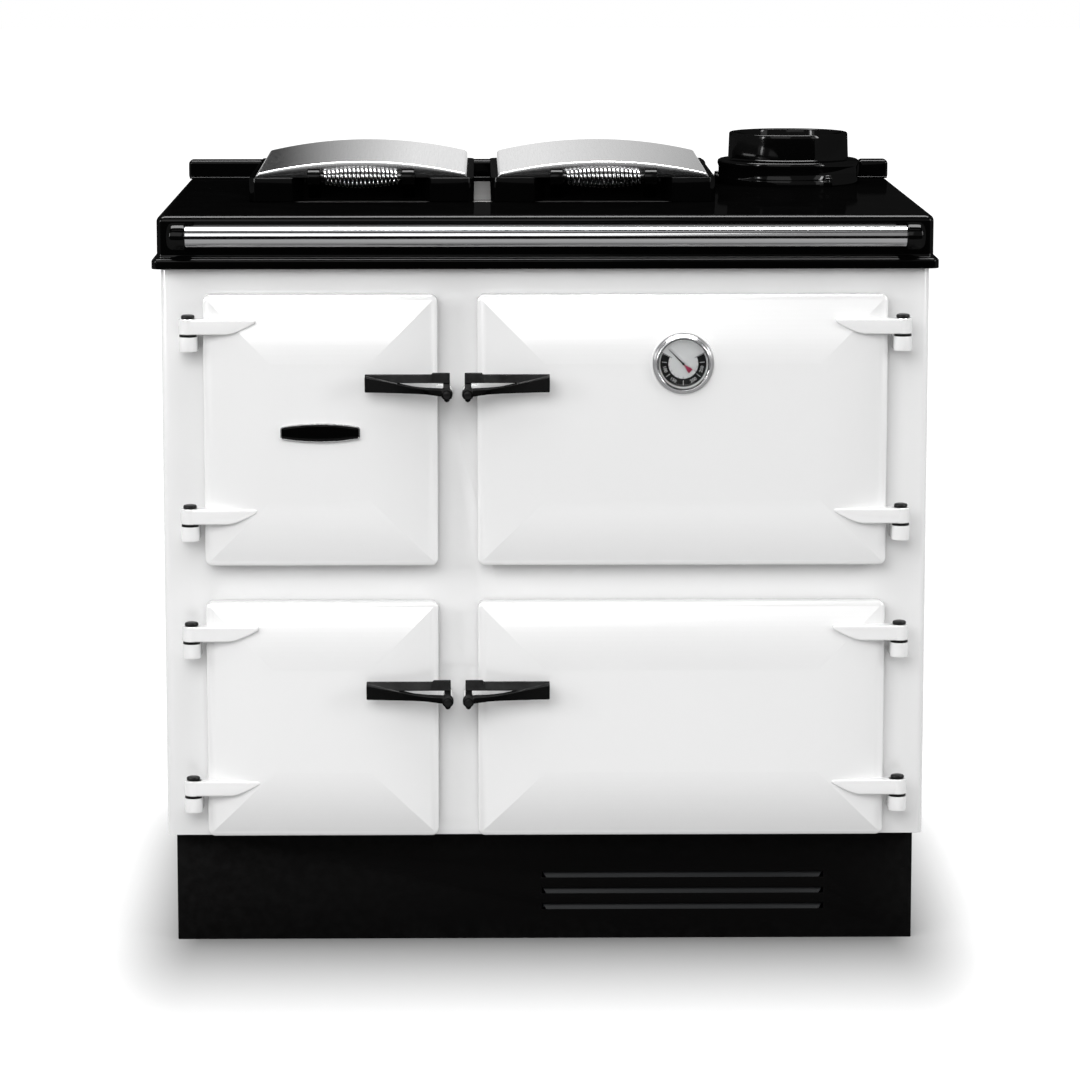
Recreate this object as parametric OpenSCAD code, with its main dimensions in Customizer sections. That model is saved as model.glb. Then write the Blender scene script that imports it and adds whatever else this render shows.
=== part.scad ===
// Cast iron range cooker with four hinged doors, two hinged hob lids,
// a towel rail and a flue outlet. X runs to the right, Y to the back, Z up.
// The origin is on the floor, under the middle of the whole cooker.

/* [Hob plate] */
// Width of the hob over its lip
hob_w = 988; // [940:1:1060]
// Depth of the hob from its front lip to its back edge
hob_d = 668; // [650:1:720]
// Height of the hob surface above the floor
hob_top_z = 941; // [900:1:980]
// Depth of the skirt that hangs down round the hob
hob_skirt_h = 67; // [55:1:80]
// How far the lip stands out past the top edge
hob_flare = 6.5; // [3:0.5:9]
// Height of the lip at the foot of the skirt
hob_lip_h = 13; // [8:1:20]
// Radius of the hob's top edges
hob_edge_r = 8; // [4:0.5:9]
// Radius of the hob's upright corners
hob_corner_r = 9; // [5:1:14]
// Thickness of the hob plate
hob_plate_t = 8; // [6:1:12]
// Thickness of the skirt at the top edge
hob_wall_t = 9; // [7:1:10]

/* [Upstand] */
// Height of the upstand along the back of the hob
upstand_h = 26; // [18:1:26]
// Thickness of the upstand
upstand_t = 25; // [15:1:27]
// Radius of the upstand's rounded ends
upstand_end_r = 6; // [2:0.5:10]
// Gap between the upstand and the flue collar
upstand_flue_gap = 7; // [3:1:20]

/* [Body] */
// How far the hob lip overhangs each side of the body
body_overhang = 10; // [6:1:14]
// How far the front plate is set back behind the hob lip
body_setback = 20; // [10:1:30]
// How far the back panel is set in from the hob's back edge
body_back_inset = 12; // [2:1:30]
// Thickness of the cast front plate
front_t = 12; // [8:1:16]
// Depth of the front plate's side returns
return_d = 34; // [24:1:60]
// Thickness of the front plate's side returns
return_t = 10; // [10:1:14]
// Radius of the body's upright front edges
body_edge_r = 9; // [4:1:9]
// Thickness of the side and back panels
panel_t = 3; // [1.5:0.5:6]
// Thickness of the base plate
base_t = 6; // [4:1:12]

/* [Plinth] */
// Height of the plinth
plinth_h = 146; // [120:1:180]
// How far the plinth is set in from each side of the body
plinth_inset = 9.5; // [5:0.5:30]
// How far the plinth is set back behind the front plate
plinth_setback = 35; // [20:1:60]
// Thickness of the plinth's steel
plinth_t = 3; // [2:0.5:5]
// Width of the plinth's foot flange
plinth_flange_w = 32; // [20:1:60]
// Length of the plinth's air slots
slot_l = 364; // [200:1:420]
// Height of each air slot
slot_h = 7.5; // [5:0.5:12]
// Distance from one air slot to the next
slot_pitch = 21; // [16:1:28]
// Height of the middle air slot above the floor
slot_z = 63; // [55:1:80]
// Middle of the air slots to the right of the cooker's middle
slot_x = 178; // [150:1:200]

/* [Doors] */
// Width of the two left-hand doors
left_door_w = 294; // [260:1:330]
// Width of the front plate outside the doors
jamb_w = 54; // [50:1:70]
// Width of the mullion between the doors
mullion_w = 50; // [46:1:70]
// Height of the two lower doors
lower_door_h = 302; // [280:1:320]
// Front plate below the lower doors
door_foot_gap = 4; // [2:1:12]
// Front plate between the lower and the upper doors
door_row_gap = 47; // [40:1:60]
// Front plate above the upper doors
door_head_gap = 32; // [28:1:45]
// How far a door overlaps its opening on each side
door_lap = 26; // [22:1:32]
// Gap between the front plate and the back of a door
door_gap = 3; // [2:0.5:5]
// How far a door's edge stands out from the front plate
door_edge_out = 24; // [18:1:28]
// How far a door's flat middle stands out from the front plate
door_crown_out = 42; // [38:1:44]
// Width of the curved bevel round a door
door_bevel_w = 85; // [60:1:90]
// Slope that is left where the bevel meets the flat middle, in degrees
door_crease = 2; // [1:0.5:4]
// Radius of a door's corners
door_corner_r = 9; // [4:1:14]
// Wall thickness of a door casting
door_wall_t = 8; // [5:1:10]
// Width of a door casting's rim
door_rim_w = 12; // [8:1:14]
// How far a door liner reaches into its opening
liner_reach = 17; // [8:1:25]
// Clearance between a door liner and its opening
liner_play = 8; // [7:1:12]
// Sheet thickness of a door liner
liner_t = 3; // [1.5:0.5:4]
// Width of the rope seal round each opening
seal_w = 9; // [6:1:10]
// Depth of the groove that holds the rope seal
seal_groove_d = 5; // [3:1:7]
// Distance from an opening to its seal groove
seal_inset = 7; // [5:1:8]

/* [Door hinges] */
// Distance from the hinge pin to the door's edge
pin_offset = 18; // [16:1:22]
// How far the hinge pin's axis stands out from the front plate
pin_out = 31; // [28:1:32]
// Radius of the hinge pins
pin_r = 5; // [3:0.5:6]
// Radius of the hinge knuckles
knuckle_r = 11.5; // [9:0.5:12]
// Height of a hinge arm
arm_h = 20; // [14:1:26]
// Length of a hinge arm from its pin to its tip
arm_l = 85; // [70:1:100]
// How far the tip of a hinge arm stands out from the front plate
arm_tip_out = 36; // [32:1:37]
// Height of a fixed hinge lug
lug_h = 18; // [12:1:24]
// Thickness of a hinge washer
washer_t = 3; // [2:0.5:5]
// Radius of the cap on a hinge pin
cap_r = 8.5; // [7:0.5:11]
// Height of the cap on a hinge pin
cap_h = 5; // [3:0.5:8]
// Upper hinge below the top of its door
hinge_drop = 50; // [45:1:60]
// Lower hinge above the foot of its door
hinge_rise = 53; // [45:1:60]

/* [Door handles] */
// Latch pivot below the top of its door
latch_drop = 120; // [100:1:140]
// Distance from a door's free edge to its latch pivot
latch_reach = 12; // [9:0.5:14]
// Length of a lever handle from its pivot to its free end
lever_l = 103; // [80:1:130]
// Top of the lever above its pivot
lever_top = 24; // [20:0.5:30]
// Height of the lever at its free end
lever_grip_h = 22; // [16:0.5:26]
// Height of the lever's upper limb
limb_h = 10; // [7:0.5:13]
// Height of the open slot between the limbs at the pivot end
lever_slot_h = 6.5; // [4:0.5:8]
// Length of the block at the pivot end of the lever
block_l = 22; // [16:1:30]
// How far the block stands above the upper limb
block_rise = 1.8; // [1:0.1:4]
// Radius of the lever's pivot boss
lever_boss_r = 7.2; // [6:0.1:8.5]
// How far the back of the lever stands out from the front plate
lever_out = 58; // [52:1:62]
// Depth of the lever's upper limb
limb_d = 10; // [7:1:14]
// Depth of the lever's grip
grip_d = 16; // [14:1:20]
// Radius of the latch spindle
spindle_r = 3.5; // [2.5:0.1:4.5]
// Radius of the roller at the back of the spindle
roller_r = 6; // [5:0.1:7]

/* [Badge and thermometer] */
// Length of the bare badge plate
badge_l = 100; // [60:1:140]
// Height of the bare badge plate
badge_h = 24.5; // [18:0.5:40]
// Thickness of the badge plate
badge_t = 4; // [2:0.5:6]
// Radius of the thermometer's bezel
bezel_r = 38; // [32:0.5:45]
// Radius of the thermometer's dial
dial_r = 31.5; // [26:0.5:31.5]
// Thermometer below the top of its door
gauge_drop = 85; // [75:1:130]
// How far the bezel stands out from the door's flat middle
bezel_out = 9; // [7:0.5:14]
// Length of the thermometer's pointer
needle_l = 21; // [15:0.5:25]
// Length of the pointer's tail
tail_l = 12; // [8:0.5:16]

/* [Lids] */
// Width of each lid
lid_w = 292; // [270:1:300]
// Depth of each lid
lid_d = 384; // [340:1:384]
// Gap between the two lids
lid_gap = 22; // [12:1:30]
// Lids set back from the hob's front lip
lid_setback = 216; // [190:1:216]
// Gap between the right lid and the flue collar
lid_flue_gap = 21; // [14:1:30]
// Height of a lid's black frame
lid_band_h = 32; // [26:1:36]
// Wall thickness of a lid's frame
lid_wall_t = 14; // [10:1:16]
// Radius of a lid's upright corners
lid_corner_r = 12; // [6:1:18]
// Height of the dome's side above the frame
dome_side_h = 5; // [3:0.5:8]
// Rise of the dome's arch from its side to its crown
dome_rise = 16; // [10:1:20]
// How much higher the dome stands at the back than at the front
dome_back_rise = 5; // [0.5:0.5:6]
// Thickness of the dome's steel
dome_t = 2; // [1:0.5:3]
// How far the dome is set in from the sides of its frame
dome_side_inset = 9; // [4:1:14]
// How far the dome is set in from the front and back of its frame
dome_end_inset = 4; // [2:1:8]
// Width of the handle recess at the front of a lid
recess_w = 180; // [160:1:200]
// Width of the handle recess at its back
recess_back_w = 152; // [146:1:156]
// Depth of the handle recess
recess_d = 26; // [18:1:28]
// Depth of a lid's liner below the top of its frame
liner_pan_h = 22; // [14:1:24]

/* [Lid handles] */
// Length of a coil handle between its posts
coil_l = 106; // [80:1:112]
// Outer diameter at the middle of a coil handle
coil_mid_d = 29; // [24:0.5:32]
// Outer diameter at the ends of a coil handle
coil_end_d = 19; // [18:0.5:21]
// Thickness of the coil's wire
wire_d = 4.6; // [4:0.1:4.8]
// Number of curls in a coil handle
coil_curls = 16; // [12:1:16]
// Radius of the rod inside a coil handle
rod_r = 3.5; // [2.5:0.1:4]
// Height of the coil's axis above the hob
coil_z = 34; // [30:1:38]
// Coil's axis in front of its lid
coil_out = 18; // [17:1:24]
// Width of a handle post
post_w = 16; // [10:1:18]
// Radius of the boss at the head of a handle post
post_r = 11; // [10.6:0.2:13]

/* [Lid hinges] */
// Hinge axis behind the back of its lid
lid_hinge_out = 12; // [11:0.5:14]
// Height of the hinge axis above the hob
lid_hinge_z = 22; // [19:0.5:24]
// Radius of a lid hinge's pin
lid_pin_r = 4; // [3:0.25:5]
// Radius of a lid hinge's knuckle
lid_knuckle_r = 9; // [7.5:0.5:10]
// Width of a lid hinge's knuckle
lid_knuckle_w = 14; // [10:1:20]
// Distance from the middle of a lid to each hinge
lid_hinge_x = 100; // [80:1:115]
// Width of the ear that holds a lid's hinge pin
ear_w = 10; // [7:1:14]

/* [Hotplate] */
// How far the hotplate is set in from the outside of the lids
hotplate_inset = 12; // [8:1:14]
// Thickness of the hotplate below the hob surface
hotplate_t = 20; // [16:1:24]
// Height of the ground cooking surfaces above the hob
hotplate_pad_h = 4; // [2:0.5:6]
// How far a cooking surface is set in from its lid's sides
pad_inset = 22; // [19:1:30]
// Width of the rope seal round the hotplate
plate_seal_w = 5; // [3:0.5:8]
// Width of the ledge that carries the hotplate
ledge_w = 12; // [8:1:16]

/* [Flue] */
// Flue outlet's axis in from the hob's right lip
flue_inset = 152; // [149:1:156]
// Flue outlet behind the hob's front lip
flue_setback = 560; // [540:1:565]
// Inner diameter of the flue spigot
flue_bore_d = 150; // [125:1:152]
// Outer diameter of the flue spigot
spigot_d = 165; // [160:1:168]
// Height of the flue spigot above the hob
spigot_h = 70; // [55:1:90]
// Outer diameter of the flue collar
collar_d = 194; // [186:1:194]
// Height of the flue collar above the hob
collar_h = 33; // [25:1:45]
// Number of bolts that hold the flue collar
flue_bolts_n = 3; // [2:1:4]
// Radius of the flue bolts
flue_bolt_r = 4; // [3:0.5:5]
// How far the flue collar's lugs reach past its side
flue_lug_out = 5; // [4:1:6]

/* [Towel rail] */
// Diameter of the towel rail
rail_d = 26; // [20:1:32]
// Ends of the towel rail in from the hob's lip on each side
rail_inset = 45; // [42:1:70]
// Axis of the towel rail in front of the hob's lip
rail_out = 45; // [38:1:60]
// Axis of the towel rail below the hob surface
rail_drop = 22; // [20:1:30]
// Wall thickness of the towel rail
rail_t = 2; // [1:0.5:4]
// Diameter of a rail bracket's cup
cup_d = 34; // [34:1:38]
// Length of a rail bracket's cup
cup_l = 22; // [18:1:23]

/* [Ovens and fire] */
// Depth of the ovens behind the front plate
oven_d = 420; // [380:1:440]
// Wall thickness of the ovens
oven_wall_t = 6; // [4:1:10]
// Thickness of a shelf's bars
shelf_t = 5; // [4:1:8]
// Distance between a shelf's bars
shelf_pitch = 34; // [24:1:50]
// Width of the runner that carries a shelf
runner_w = 10; // [6:1:14]
// Wall thickness of the firebox
firebox_wall_t = 8; // [6:1:10]
// Depth of the firebox behind the front plate
firebox_d = 360; // [300:1:400]
// Radius of the throat in the firebox's floor
throat_r = 70; // [50:1:80]
// Radius of the burner's pot
burner_r = 62; // [40:1:66]
// Height of the burner's stand
burner_stand_h = 120; // [80:1:150]
// Thickness of the insulation slabs beside the ovens
wool_t = 56; // [40:1:60]

/* [Hidden] */
$fn = 48;

// Clearances
move_gap = 0.4;      // between faces that move past each other
pin_play = 0.05;     // round a pin that turns in its bore
lid_lift = 0.5;      // under a closed lid
over = 1;            // how far a cutting solid runs past a face

// Places along Y: the origin is halfway between the rail cups' front and the hob's back
rail_reach = rail_out + cup_d / 2;
hob_front_y = rail_reach - (hob_d + rail_reach) / 2;
hob_back_y = hob_front_y + hob_d;
face_y = hob_front_y + body_setback;
inner_y = face_y + front_t;
body_back_y = hob_back_y - body_back_inset;
plinth_front_y = face_y + plinth_setback;
lid_front_y = hob_front_y + lid_setback;
lid_back_y = lid_front_y + lid_d;
upstand_y = hob_back_y - upstand_t;
flue_y = hob_front_y + flue_setback;

// Places along X and Z
body_w = hob_w - 2 * body_overhang;
body_top_z = hob_top_z - hob_skirt_h;
body_h = body_top_z - plinth_h;
base_top_z = plinth_h + base_t;
left_door_x = jamb_w - body_w / 2;
right_door_x = left_door_x + left_door_w + mullion_w;
right_door_w = body_w / 2 - jamb_w - right_door_x;
flue_x = hob_w / 2 - flue_inset;
lids_left = lid_w + lid_gap / 2 + lid_flue_gap + collar_d / 2 - flue_x;
rail_l = hob_w - 2 * rail_inset;
lower_door_z = plinth_h + door_foot_gap;
upper_door_z = lower_door_z + lower_door_h + door_row_gap;
upper_door_h = body_top_z - door_head_gap - upper_door_z;

// Doors as [left edge, foot, width, height, hinge side], the side is -1 left or 1 right
fire_place = [left_door_x, upper_door_z, left_door_w, upper_door_h, -1];
oven_place = [right_door_x, upper_door_z, right_door_w, upper_door_h, 1];
burner_place = [left_door_x, lower_door_z, left_door_w, lower_door_h, -1];
warm_place = [right_door_x, lower_door_z, right_door_w, lower_door_h, 1];
door_places = [fire_place, oven_place, burner_place, warm_place];
function door_w(d) = d[2];
function door_h(d) = d[3];

// Bevel of a door: an arc from the edge to the flat middle
bevel_rise = door_crown_out - door_edge_out;
bevel_angle = atan(bevel_rise / door_bevel_w);
bevel_r = norm([door_bevel_w, bevel_rise]) / (2 * sin(bevel_angle - door_crease));
bevel_cx = door_bevel_w + bevel_r * sin(door_crease);
bevel_cz = door_crown_out - bevel_r * cos(door_crease);
liner_in = door_rim_w + 4;
liner_fit = 0.2;
gauge_fit = 0.3;
arm_root_out = door_crown_out - 13;

// Lid places
lid_x = [-lids_left - (lid_w + lid_gap) / 2, -lids_left + (lid_w + lid_gap) / 2];
lid_foot_z = hob_top_z + lid_lift;
band_top_z = hob_top_z + lid_band_h;
dome_w = lid_w - 2 * dome_side_inset;
dome_d = lid_d - 2 * dome_end_inset;
dome_r = (dome_w * dome_w / 4 + dome_rise * dome_rise) / (2 * dome_rise);
dome_tilt = atan(dome_back_rise / dome_d);
lid_block_d = recess_d + lid_wall_t;
coil_y = lid_front_y - coil_out;
coil_axis_z = hob_top_z + coil_z;
hinge_axis_y = lid_back_y + lid_hinge_out;
hinge_axis_z = hob_top_z + lid_hinge_z;

// Hob casting
hob_ledge_h = 5;
hob_lip_slope_h = 2;
flue_margin = 2;

// Hotplate
hotplate_w = 2 * lid_w + lid_gap - 2 * hotplate_inset;
hotplate_d = lid_d - 2 * hotplate_inset;
hotplate_y = lid_front_y + lid_d / 2;
hotplate_r = 10;
well_drop = 10;
pad_front_gap = 4;
seal_sink = 1;

// Flue collar lugs
flue_lug_h = collar_h / 3;
flue_lug_r = flue_lug_out + 2;

// Towel rail brackets
cup_step_l = 5;
cup_step = 4;
rail_stem_r = 12;

// Thermometer depths, measured out from the front plate
bezel_front = door_crown_out + bezel_out;
case_seat = door_crown_out - 5;
case_back = 20;
case_floor = door_crown_out - 3;
dial_out = case_floor + 3;
dial_t = 1;
needle_out = dial_out + dial_t + move_gap;
hub_t = 1.6;
hub_r = 3;
arbor_r = 1.2;
glass_t = 2;
glass_out = bezel_front - 2 - glass_t;
body_bore_r = bezel_r - 4;
needle_turn = 135;

// Latch depths, measured out from the front plate
catch_out = 7.5;
roller_out = 3.6;
roller_l = 4.8;
latch_lug_out = roller_out + roller_l + move_gap;
latch_lug_h = 2 * (lever_boss_r - 0.6);
latch_lug_d = door_edge_out - latch_lug_out - 2;
latch_root_l = 4;
catch_h = 7;
rivet_h = 1.6;
lever_tip_r = 2.5;
sleeve_out = lever_out - move_gap;

// Inside the body
shelf_play = 2;
shelf_gap = 10;
firebox_rim = 20;
pot_floor_t = 8;
wool_gap = 2;

// Coil path: 8 rings to a curl, 6 sides to a ring
rings_per_curl = 8;
ring_sides = 6;
coil_rings = coil_curls * rings_per_curl;
coil_run = coil_l - 2 * wire_d;
coil_end_r = (coil_end_d - wire_d) / 2;
coil_mid_r = (coil_mid_d - wire_d) / 2;
function coil_radius(t) = coil_end_r + (coil_mid_r - coil_end_r) * sin(180 * t);
function coil_angle(t) = 360 * coil_curls * t;
function coil_point(t) = [
    (t - 0.5) * coil_run,
    coil_radius(t) * cos(coil_angle(t)),
    coil_radius(t) * sin(coil_angle(t))
];
coil_inner = [for (i = [0 : coil_rings]) coil_point(i / coil_rings)];
coil_path = concat(
    [coil_inner[0] - [wire_d, 0, 0]],
    coil_inner,
    [coil_inner[coil_rings] + [wire_d, 0, 0]]
);
coil_last = len(coil_path) - 1;
function unit(v) = v / norm(v);
function coil_tangent(i) =
    i == 0 || i == coil_last ? [1, 0, 0]
    : unit(unit(coil_path[i + 1] - coil_path[i]) + unit(coil_path[i] - coil_path[i - 1]));
function coil_normal(i) = unit([0, coil_path[i][1], coil_path[i][2]]);
function coil_ring(i) =
    let (t = coil_tangent(i), n = unit(coil_normal(i) - (coil_normal(i) * t) * t), b = cross(t, n))
    [for (k = [0 : ring_sides - 1])
        coil_path[i] + wire_d / 2 * (cos(k * 360 / ring_sides) * n + sin(k * 360 / ring_sides) * b)];
coil_points = [for (i = [0 : coil_last]) each coil_ring(i)];
function ring_corner(i, k) = i * ring_sides + k % ring_sides;
coil_faces = concat(
    [for (k = [1 : ring_sides - 2]) [0, k, k + 1]],
    [for (k = [1 : ring_sides - 2])
        [ring_corner(coil_last, 0), ring_corner(coil_last, k + 1), ring_corner(coil_last, k)]],
    [for (i = [0 : coil_last - 1], k = [0 : ring_sides - 1])
        [ring_corner(i, k), ring_corner(i + 1, k), ring_corner(i + 1, k + 1)]],
    [for (i = [0 : coil_last - 1], k = [0 : ring_sides - 1])
        [ring_corner(i, k), ring_corner(i + 1, k + 1), ring_corner(i, k + 1)]]
);
coil_gap = min([for (i = [1 : coil_last - 1], j = [i + rings_per_curl / 2 : coil_last - 1])
    norm(coil_path[i] - coil_path[j])]) - wire_d;
echo(coil_least_gap = coil_gap);

// ---------- Shared shapes ----------

// Flat rectangle with round corners, its lower left corner at the origin
module round_rect(w, h, r) {
    translate([r, 0]) square([w - 2 * r, h]);
    translate([0, r]) square([w, h - 2 * r]);
    for (x = [r, w - r], y = [r, h - r]) translate([x, y]) circle(r);
}

// The same, grown or shrunk by a margin on every side
module round_frame(w, h, r, margin) {
    translate([-margin, -margin]) round_rect(w + 2 * margin, h + 2 * margin, r + margin);
}

// Stands children up against the front plate: X right, Y up, Z out of the plate
module on_face() translate([0, face_y, 0]) rotate([90, 0, 0]) children();

// Puts children at a door: X from the hinge edge, Y up from its foot, Z out
module at_door(d) {
    on_face() translate([d[4] < 0 ? d[0] : d[0] + door_w(d), d[1], 0])
        mirror([d[4] < 0 ? 0 : 1, 0, 0]) children();
}

// Puts children at both hinges of a door: the origin is on the pin, at the washer's foot
module at_hinges(d) {
    for (y = [hinge_rise, door_h(d) - hinge_drop])
        at_door(d) translate([-pin_offset, y - washer_t / 2, pin_out]) rotate([-90, 0, 0]) children();
}

// Puts children at a door's latch pivot: X towards the hinge, Y up, Z out
module at_latch(d) {
    at_door(d) translate([door_w(d) + latch_reach, door_h(d) - latch_drop, 0])
        mirror([1, 0, 0]) children();
}

// ---------- Plinth and body ----------

module plinth() {
    color("#151515") difference() {
        w = body_w - 2 * plinth_inset;
        d = body_back_y - plinth_inset - plinth_front_y;
        translate([-w / 2, plinth_front_y, 0]) cube([w, d, plinth_h]);
        translate([-w / 2 + plinth_t, plinth_front_y + plinth_t, plinth_t])
            cube([w - 2 * plinth_t, d - 2 * plinth_t, plinth_h]);
        translate([-w / 2 + plinth_flange_w, plinth_front_y + plinth_flange_w, -over])
            cube([w - 2 * plinth_flange_w, d - 2 * plinth_flange_w, plinth_t + 2 * over]);
        for (i = [-1 : 1])
            translate([slot_x - slot_l / 2, plinth_front_y - over, slot_z + i * slot_pitch - slot_h / 2])
                cube([slot_l, plinth_t + 2 * over, slot_h]);
    }
}

module base_plate() {
    w = body_w - 2 * return_t;
    color("dimgray") translate([-w / 2, inner_y, plinth_h])
        cube([w, body_back_y - panel_t - inner_y, base_t]);
}

// Plan of the front plate and its side returns, front face at Y 0
module front_plan() {
    difference() {
        union() {
            translate([body_edge_r - body_w / 2, 0]) square([body_w - 2 * body_edge_r, front_t]);
            translate([-body_w / 2, body_edge_r]) square([body_w, return_d - body_edge_r]);
            for (s = [-1, 1]) translate([s * (body_w / 2 - body_edge_r), body_edge_r]) circle(body_edge_r);
        }
        translate([return_t - body_w / 2, front_t]) square([body_w - 2 * return_t, return_d]);
    }
}

module front_plate() {
    color("white") difference() {
        translate([0, face_y, plinth_h]) linear_extrude(body_h) front_plan();
        for (d = door_places) on_face() {
            translate([d[0] + door_lap, d[1] + door_lap, -front_t - over])
                linear_extrude(front_t + 2 * over)
                    round_rect(door_w(d) - 2 * door_lap, door_h(d) - 2 * door_lap, door_corner_r);
            translate([d[0] + door_lap, d[1] + door_lap, -seal_groove_d])
                linear_extrude(seal_groove_d + over) seal_ring(d);
        }
    }
}

// Outline of the rope seal round a door's opening
module seal_ring(d) {
    w = door_w(d) - 2 * door_lap;
    h = door_h(d) - 2 * door_lap;
    difference() {
        round_frame(w, h, door_corner_r, seal_inset + seal_w);
        round_frame(w, h, door_corner_r, seal_inset);
    }
}

module door_seals() {
    color("darkgray") for (d = door_places)
        on_face() translate([d[0] + door_lap, d[1] + door_lap, -seal_groove_d])
            linear_extrude(seal_groove_d + door_gap - move_gap) seal_ring(d);
}

module side_panel(side) {
    y = face_y + return_d;
    color("white") translate([side < 0 ? -body_w / 2 : body_w / 2 - panel_t, y, plinth_h])
        cube([panel_t, body_back_y - y, body_h]);
}

module back_panel() {
    color("lightgray") translate([panel_t - body_w / 2, body_back_y - panel_t, plinth_h])
        cube([body_w - 2 * panel_t, panel_t, body_h]);
}

// ---------- Hob ----------

// Half outline of the hob's edge, from its middle line to the lip
module hob_edge(half) {
    top = half - hob_flare;
    foot = body_top_z;
    polygon([
        [0, foot], [half, foot], [half, foot + hob_lip_h], [top + hob_flare / 2, foot + hob_lip_h + hob_lip_slope_h],
        [top, hob_top_z - rail_drop - cup_d / 2], [top, hob_top_z - hob_edge_r],
        [0, hob_top_z - hob_edge_r]
    ]);
    translate([0, foot]) square([top - hob_edge_r, hob_skirt_h]);
    translate([top - hob_edge_r, hob_top_z - hob_edge_r]) circle(hob_edge_r);
}

module top_plate() {
    inner_w = hob_w - 2 * (hob_flare + hob_wall_t);
    inner_back = body_back_y - 2 * panel_t;
    cut_w = hotplate_w + 2 * plate_seal_w;
    cut_d = hotplate_d + 2 * plate_seal_w;
    ledge_z = hob_top_z - hotplate_t;
    color("#0c0c0c") difference() {
        union() {
            difference() {
                intersection() {
                    translate([0, hob_back_y, 0]) rotate([90, 0, 0]) linear_extrude(hob_d) {
                        hob_edge(hob_w / 2);
                        mirror([1, 0]) hob_edge(hob_w / 2);
                    }
                    translate([-hob_w / 2, hob_back_y, 0]) mirror([0, 1, 0]) rotate([90, 0, 90])
                        linear_extrude(hob_w) hob_edge(hob_d);
                    translate([-hob_w / 2, hob_front_y, body_top_z]) linear_extrude(hob_skirt_h)
                        hob_plan();
                }
                translate([-inner_w / 2, hob_front_y + hob_flare + hob_wall_t, body_top_z + hob_ledge_h])
                    cube([inner_w, inner_back - hob_front_y - hob_flare - hob_wall_t,
                        hob_skirt_h - hob_plate_t - hob_ledge_h]);
                translate([-inner_w / 2, inner_y - hob_ledge_h, body_top_z - over])
                    cube([inner_w, inner_back - inner_y + hob_ledge_h, hob_ledge_h + 2 * over]);
            }
            hob_well(cut_w + 2 * ledge_w, cut_d + 2 * ledge_w, ledge_z - well_drop,
                hotplate_t + well_drop - hob_plate_t);
        }
        hob_well(cut_w, cut_d, ledge_z, hotplate_t + over);
        hob_well(cut_w - 2 * ledge_w, cut_d - 2 * ledge_w, ledge_z - well_drop - over, hotplate_t);
        translate([flue_x, flue_y, body_top_z]) cylinder(r = flue_bore_d / 2 + flue_margin, h = hob_skirt_h + over);
    }
}

// Plan of the hob with round front corners
module hob_plan() {
    translate([0, hob_corner_r]) square([hob_w, hob_d - hob_corner_r]);
    translate([hob_corner_r, 0]) square([hob_w - 2 * hob_corner_r, hob_d]);
    for (x = [hob_corner_r, hob_w - hob_corner_r]) translate([x, hob_corner_r]) circle(hob_corner_r);
}

// Block with round corners, centred on the hotplate
module hob_well(w, d, z, h) {
    translate([-lids_left - w / 2, hotplate_y - d / 2, z]) linear_extrude(h)
        round_rect(w, d, hotplate_r);
}

module rear_upstand() {
    half = hob_w / 2 - hob_flare;
    gap = collar_d / 2 + flue_lug_out + upstand_flue_gap;
    color("#0c0c0c") {
        upstand_piece(-half, flue_x - gap);
        upstand_piece(flue_x + gap - flue_lug_out, half);
    }
}

// One length of the upstand, its upper corners rounded
module upstand_piece(x0, x1) {
    translate([x0, hob_back_y, hob_top_z]) rotate([90, 0, 0]) linear_extrude(upstand_t) {
        square([x1 - x0, upstand_h - upstand_end_r]);
        translate([upstand_end_r, 0]) square([x1 - x0 - 2 * upstand_end_r, upstand_h]);
        for (x = [upstand_end_r, x1 - x0 - upstand_end_r])
            translate([x, upstand_h - upstand_end_r]) circle(upstand_end_r);
    }
}

module hotplate() {
    color("gray") {
        hob_well(hotplate_w, hotplate_d, hob_top_z - hotplate_t, hotplate_t);
        for (x = lid_x)
            translate([x - lid_w / 2 + pad_inset, lid_front_y + lid_block_d + pad_front_gap, hob_top_z - over])
                linear_extrude(hotplate_pad_h + over)
                    round_rect(lid_w - 2 * pad_inset, lid_d - lid_block_d - pad_front_gap - pad_inset,
                        hotplate_r);
    }
}

module hotplate_seal() {
    h = hob_plate_t - seal_sink;
    color("darkgray") difference() {
        hob_well(hotplate_w + 2 * plate_seal_w, hotplate_d + 2 * plate_seal_w, hob_top_z - hob_plate_t, h);
        hob_well(hotplate_w, hotplate_d, hob_top_z - hob_plate_t - over, h + 2 * over);
    }
}

// ---------- Flue ----------

module at_flue_bolts() {
    for (i = [0 : flue_bolts_n - 1])
        translate([flue_x, flue_y, hob_top_z])
            rotate(180 + i * 360 / flue_bolts_n)
                translate([collar_d / 2 + flue_lug_out - flue_lug_r, 0, 0]) children();
}

module flue_collar() {
    color("#0c0c0c") difference() {
        union() {
            translate([flue_x, flue_y, hob_top_z]) cylinder(r = collar_d / 2, h = collar_h);
            at_flue_bolts() cylinder(r = flue_lug_r, h = flue_lug_h);
        }
        translate([flue_x, flue_y, hob_top_z - over])
            cylinder(r = spigot_d / 2, h = collar_h + 2 * over);
        at_flue_bolts() translate([0, 0, -over]) cylinder(r = flue_bolt_r, h = flue_lug_h + 2 * over);
        at_flue_bolts() translate([0, 0, flue_lug_h]) cylinder(r = flue_lug_r, h = collar_h);
    }
}

module flue_spigot() {
    color("#0c0c0c") translate([flue_x, flue_y, hob_top_z]) difference() {
        cylinder(r = spigot_d / 2, h = spigot_h);
        translate([0, 0, -over]) cylinder(r = flue_bore_d / 2, h = spigot_h + 2 * over);
    }
}

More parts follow.
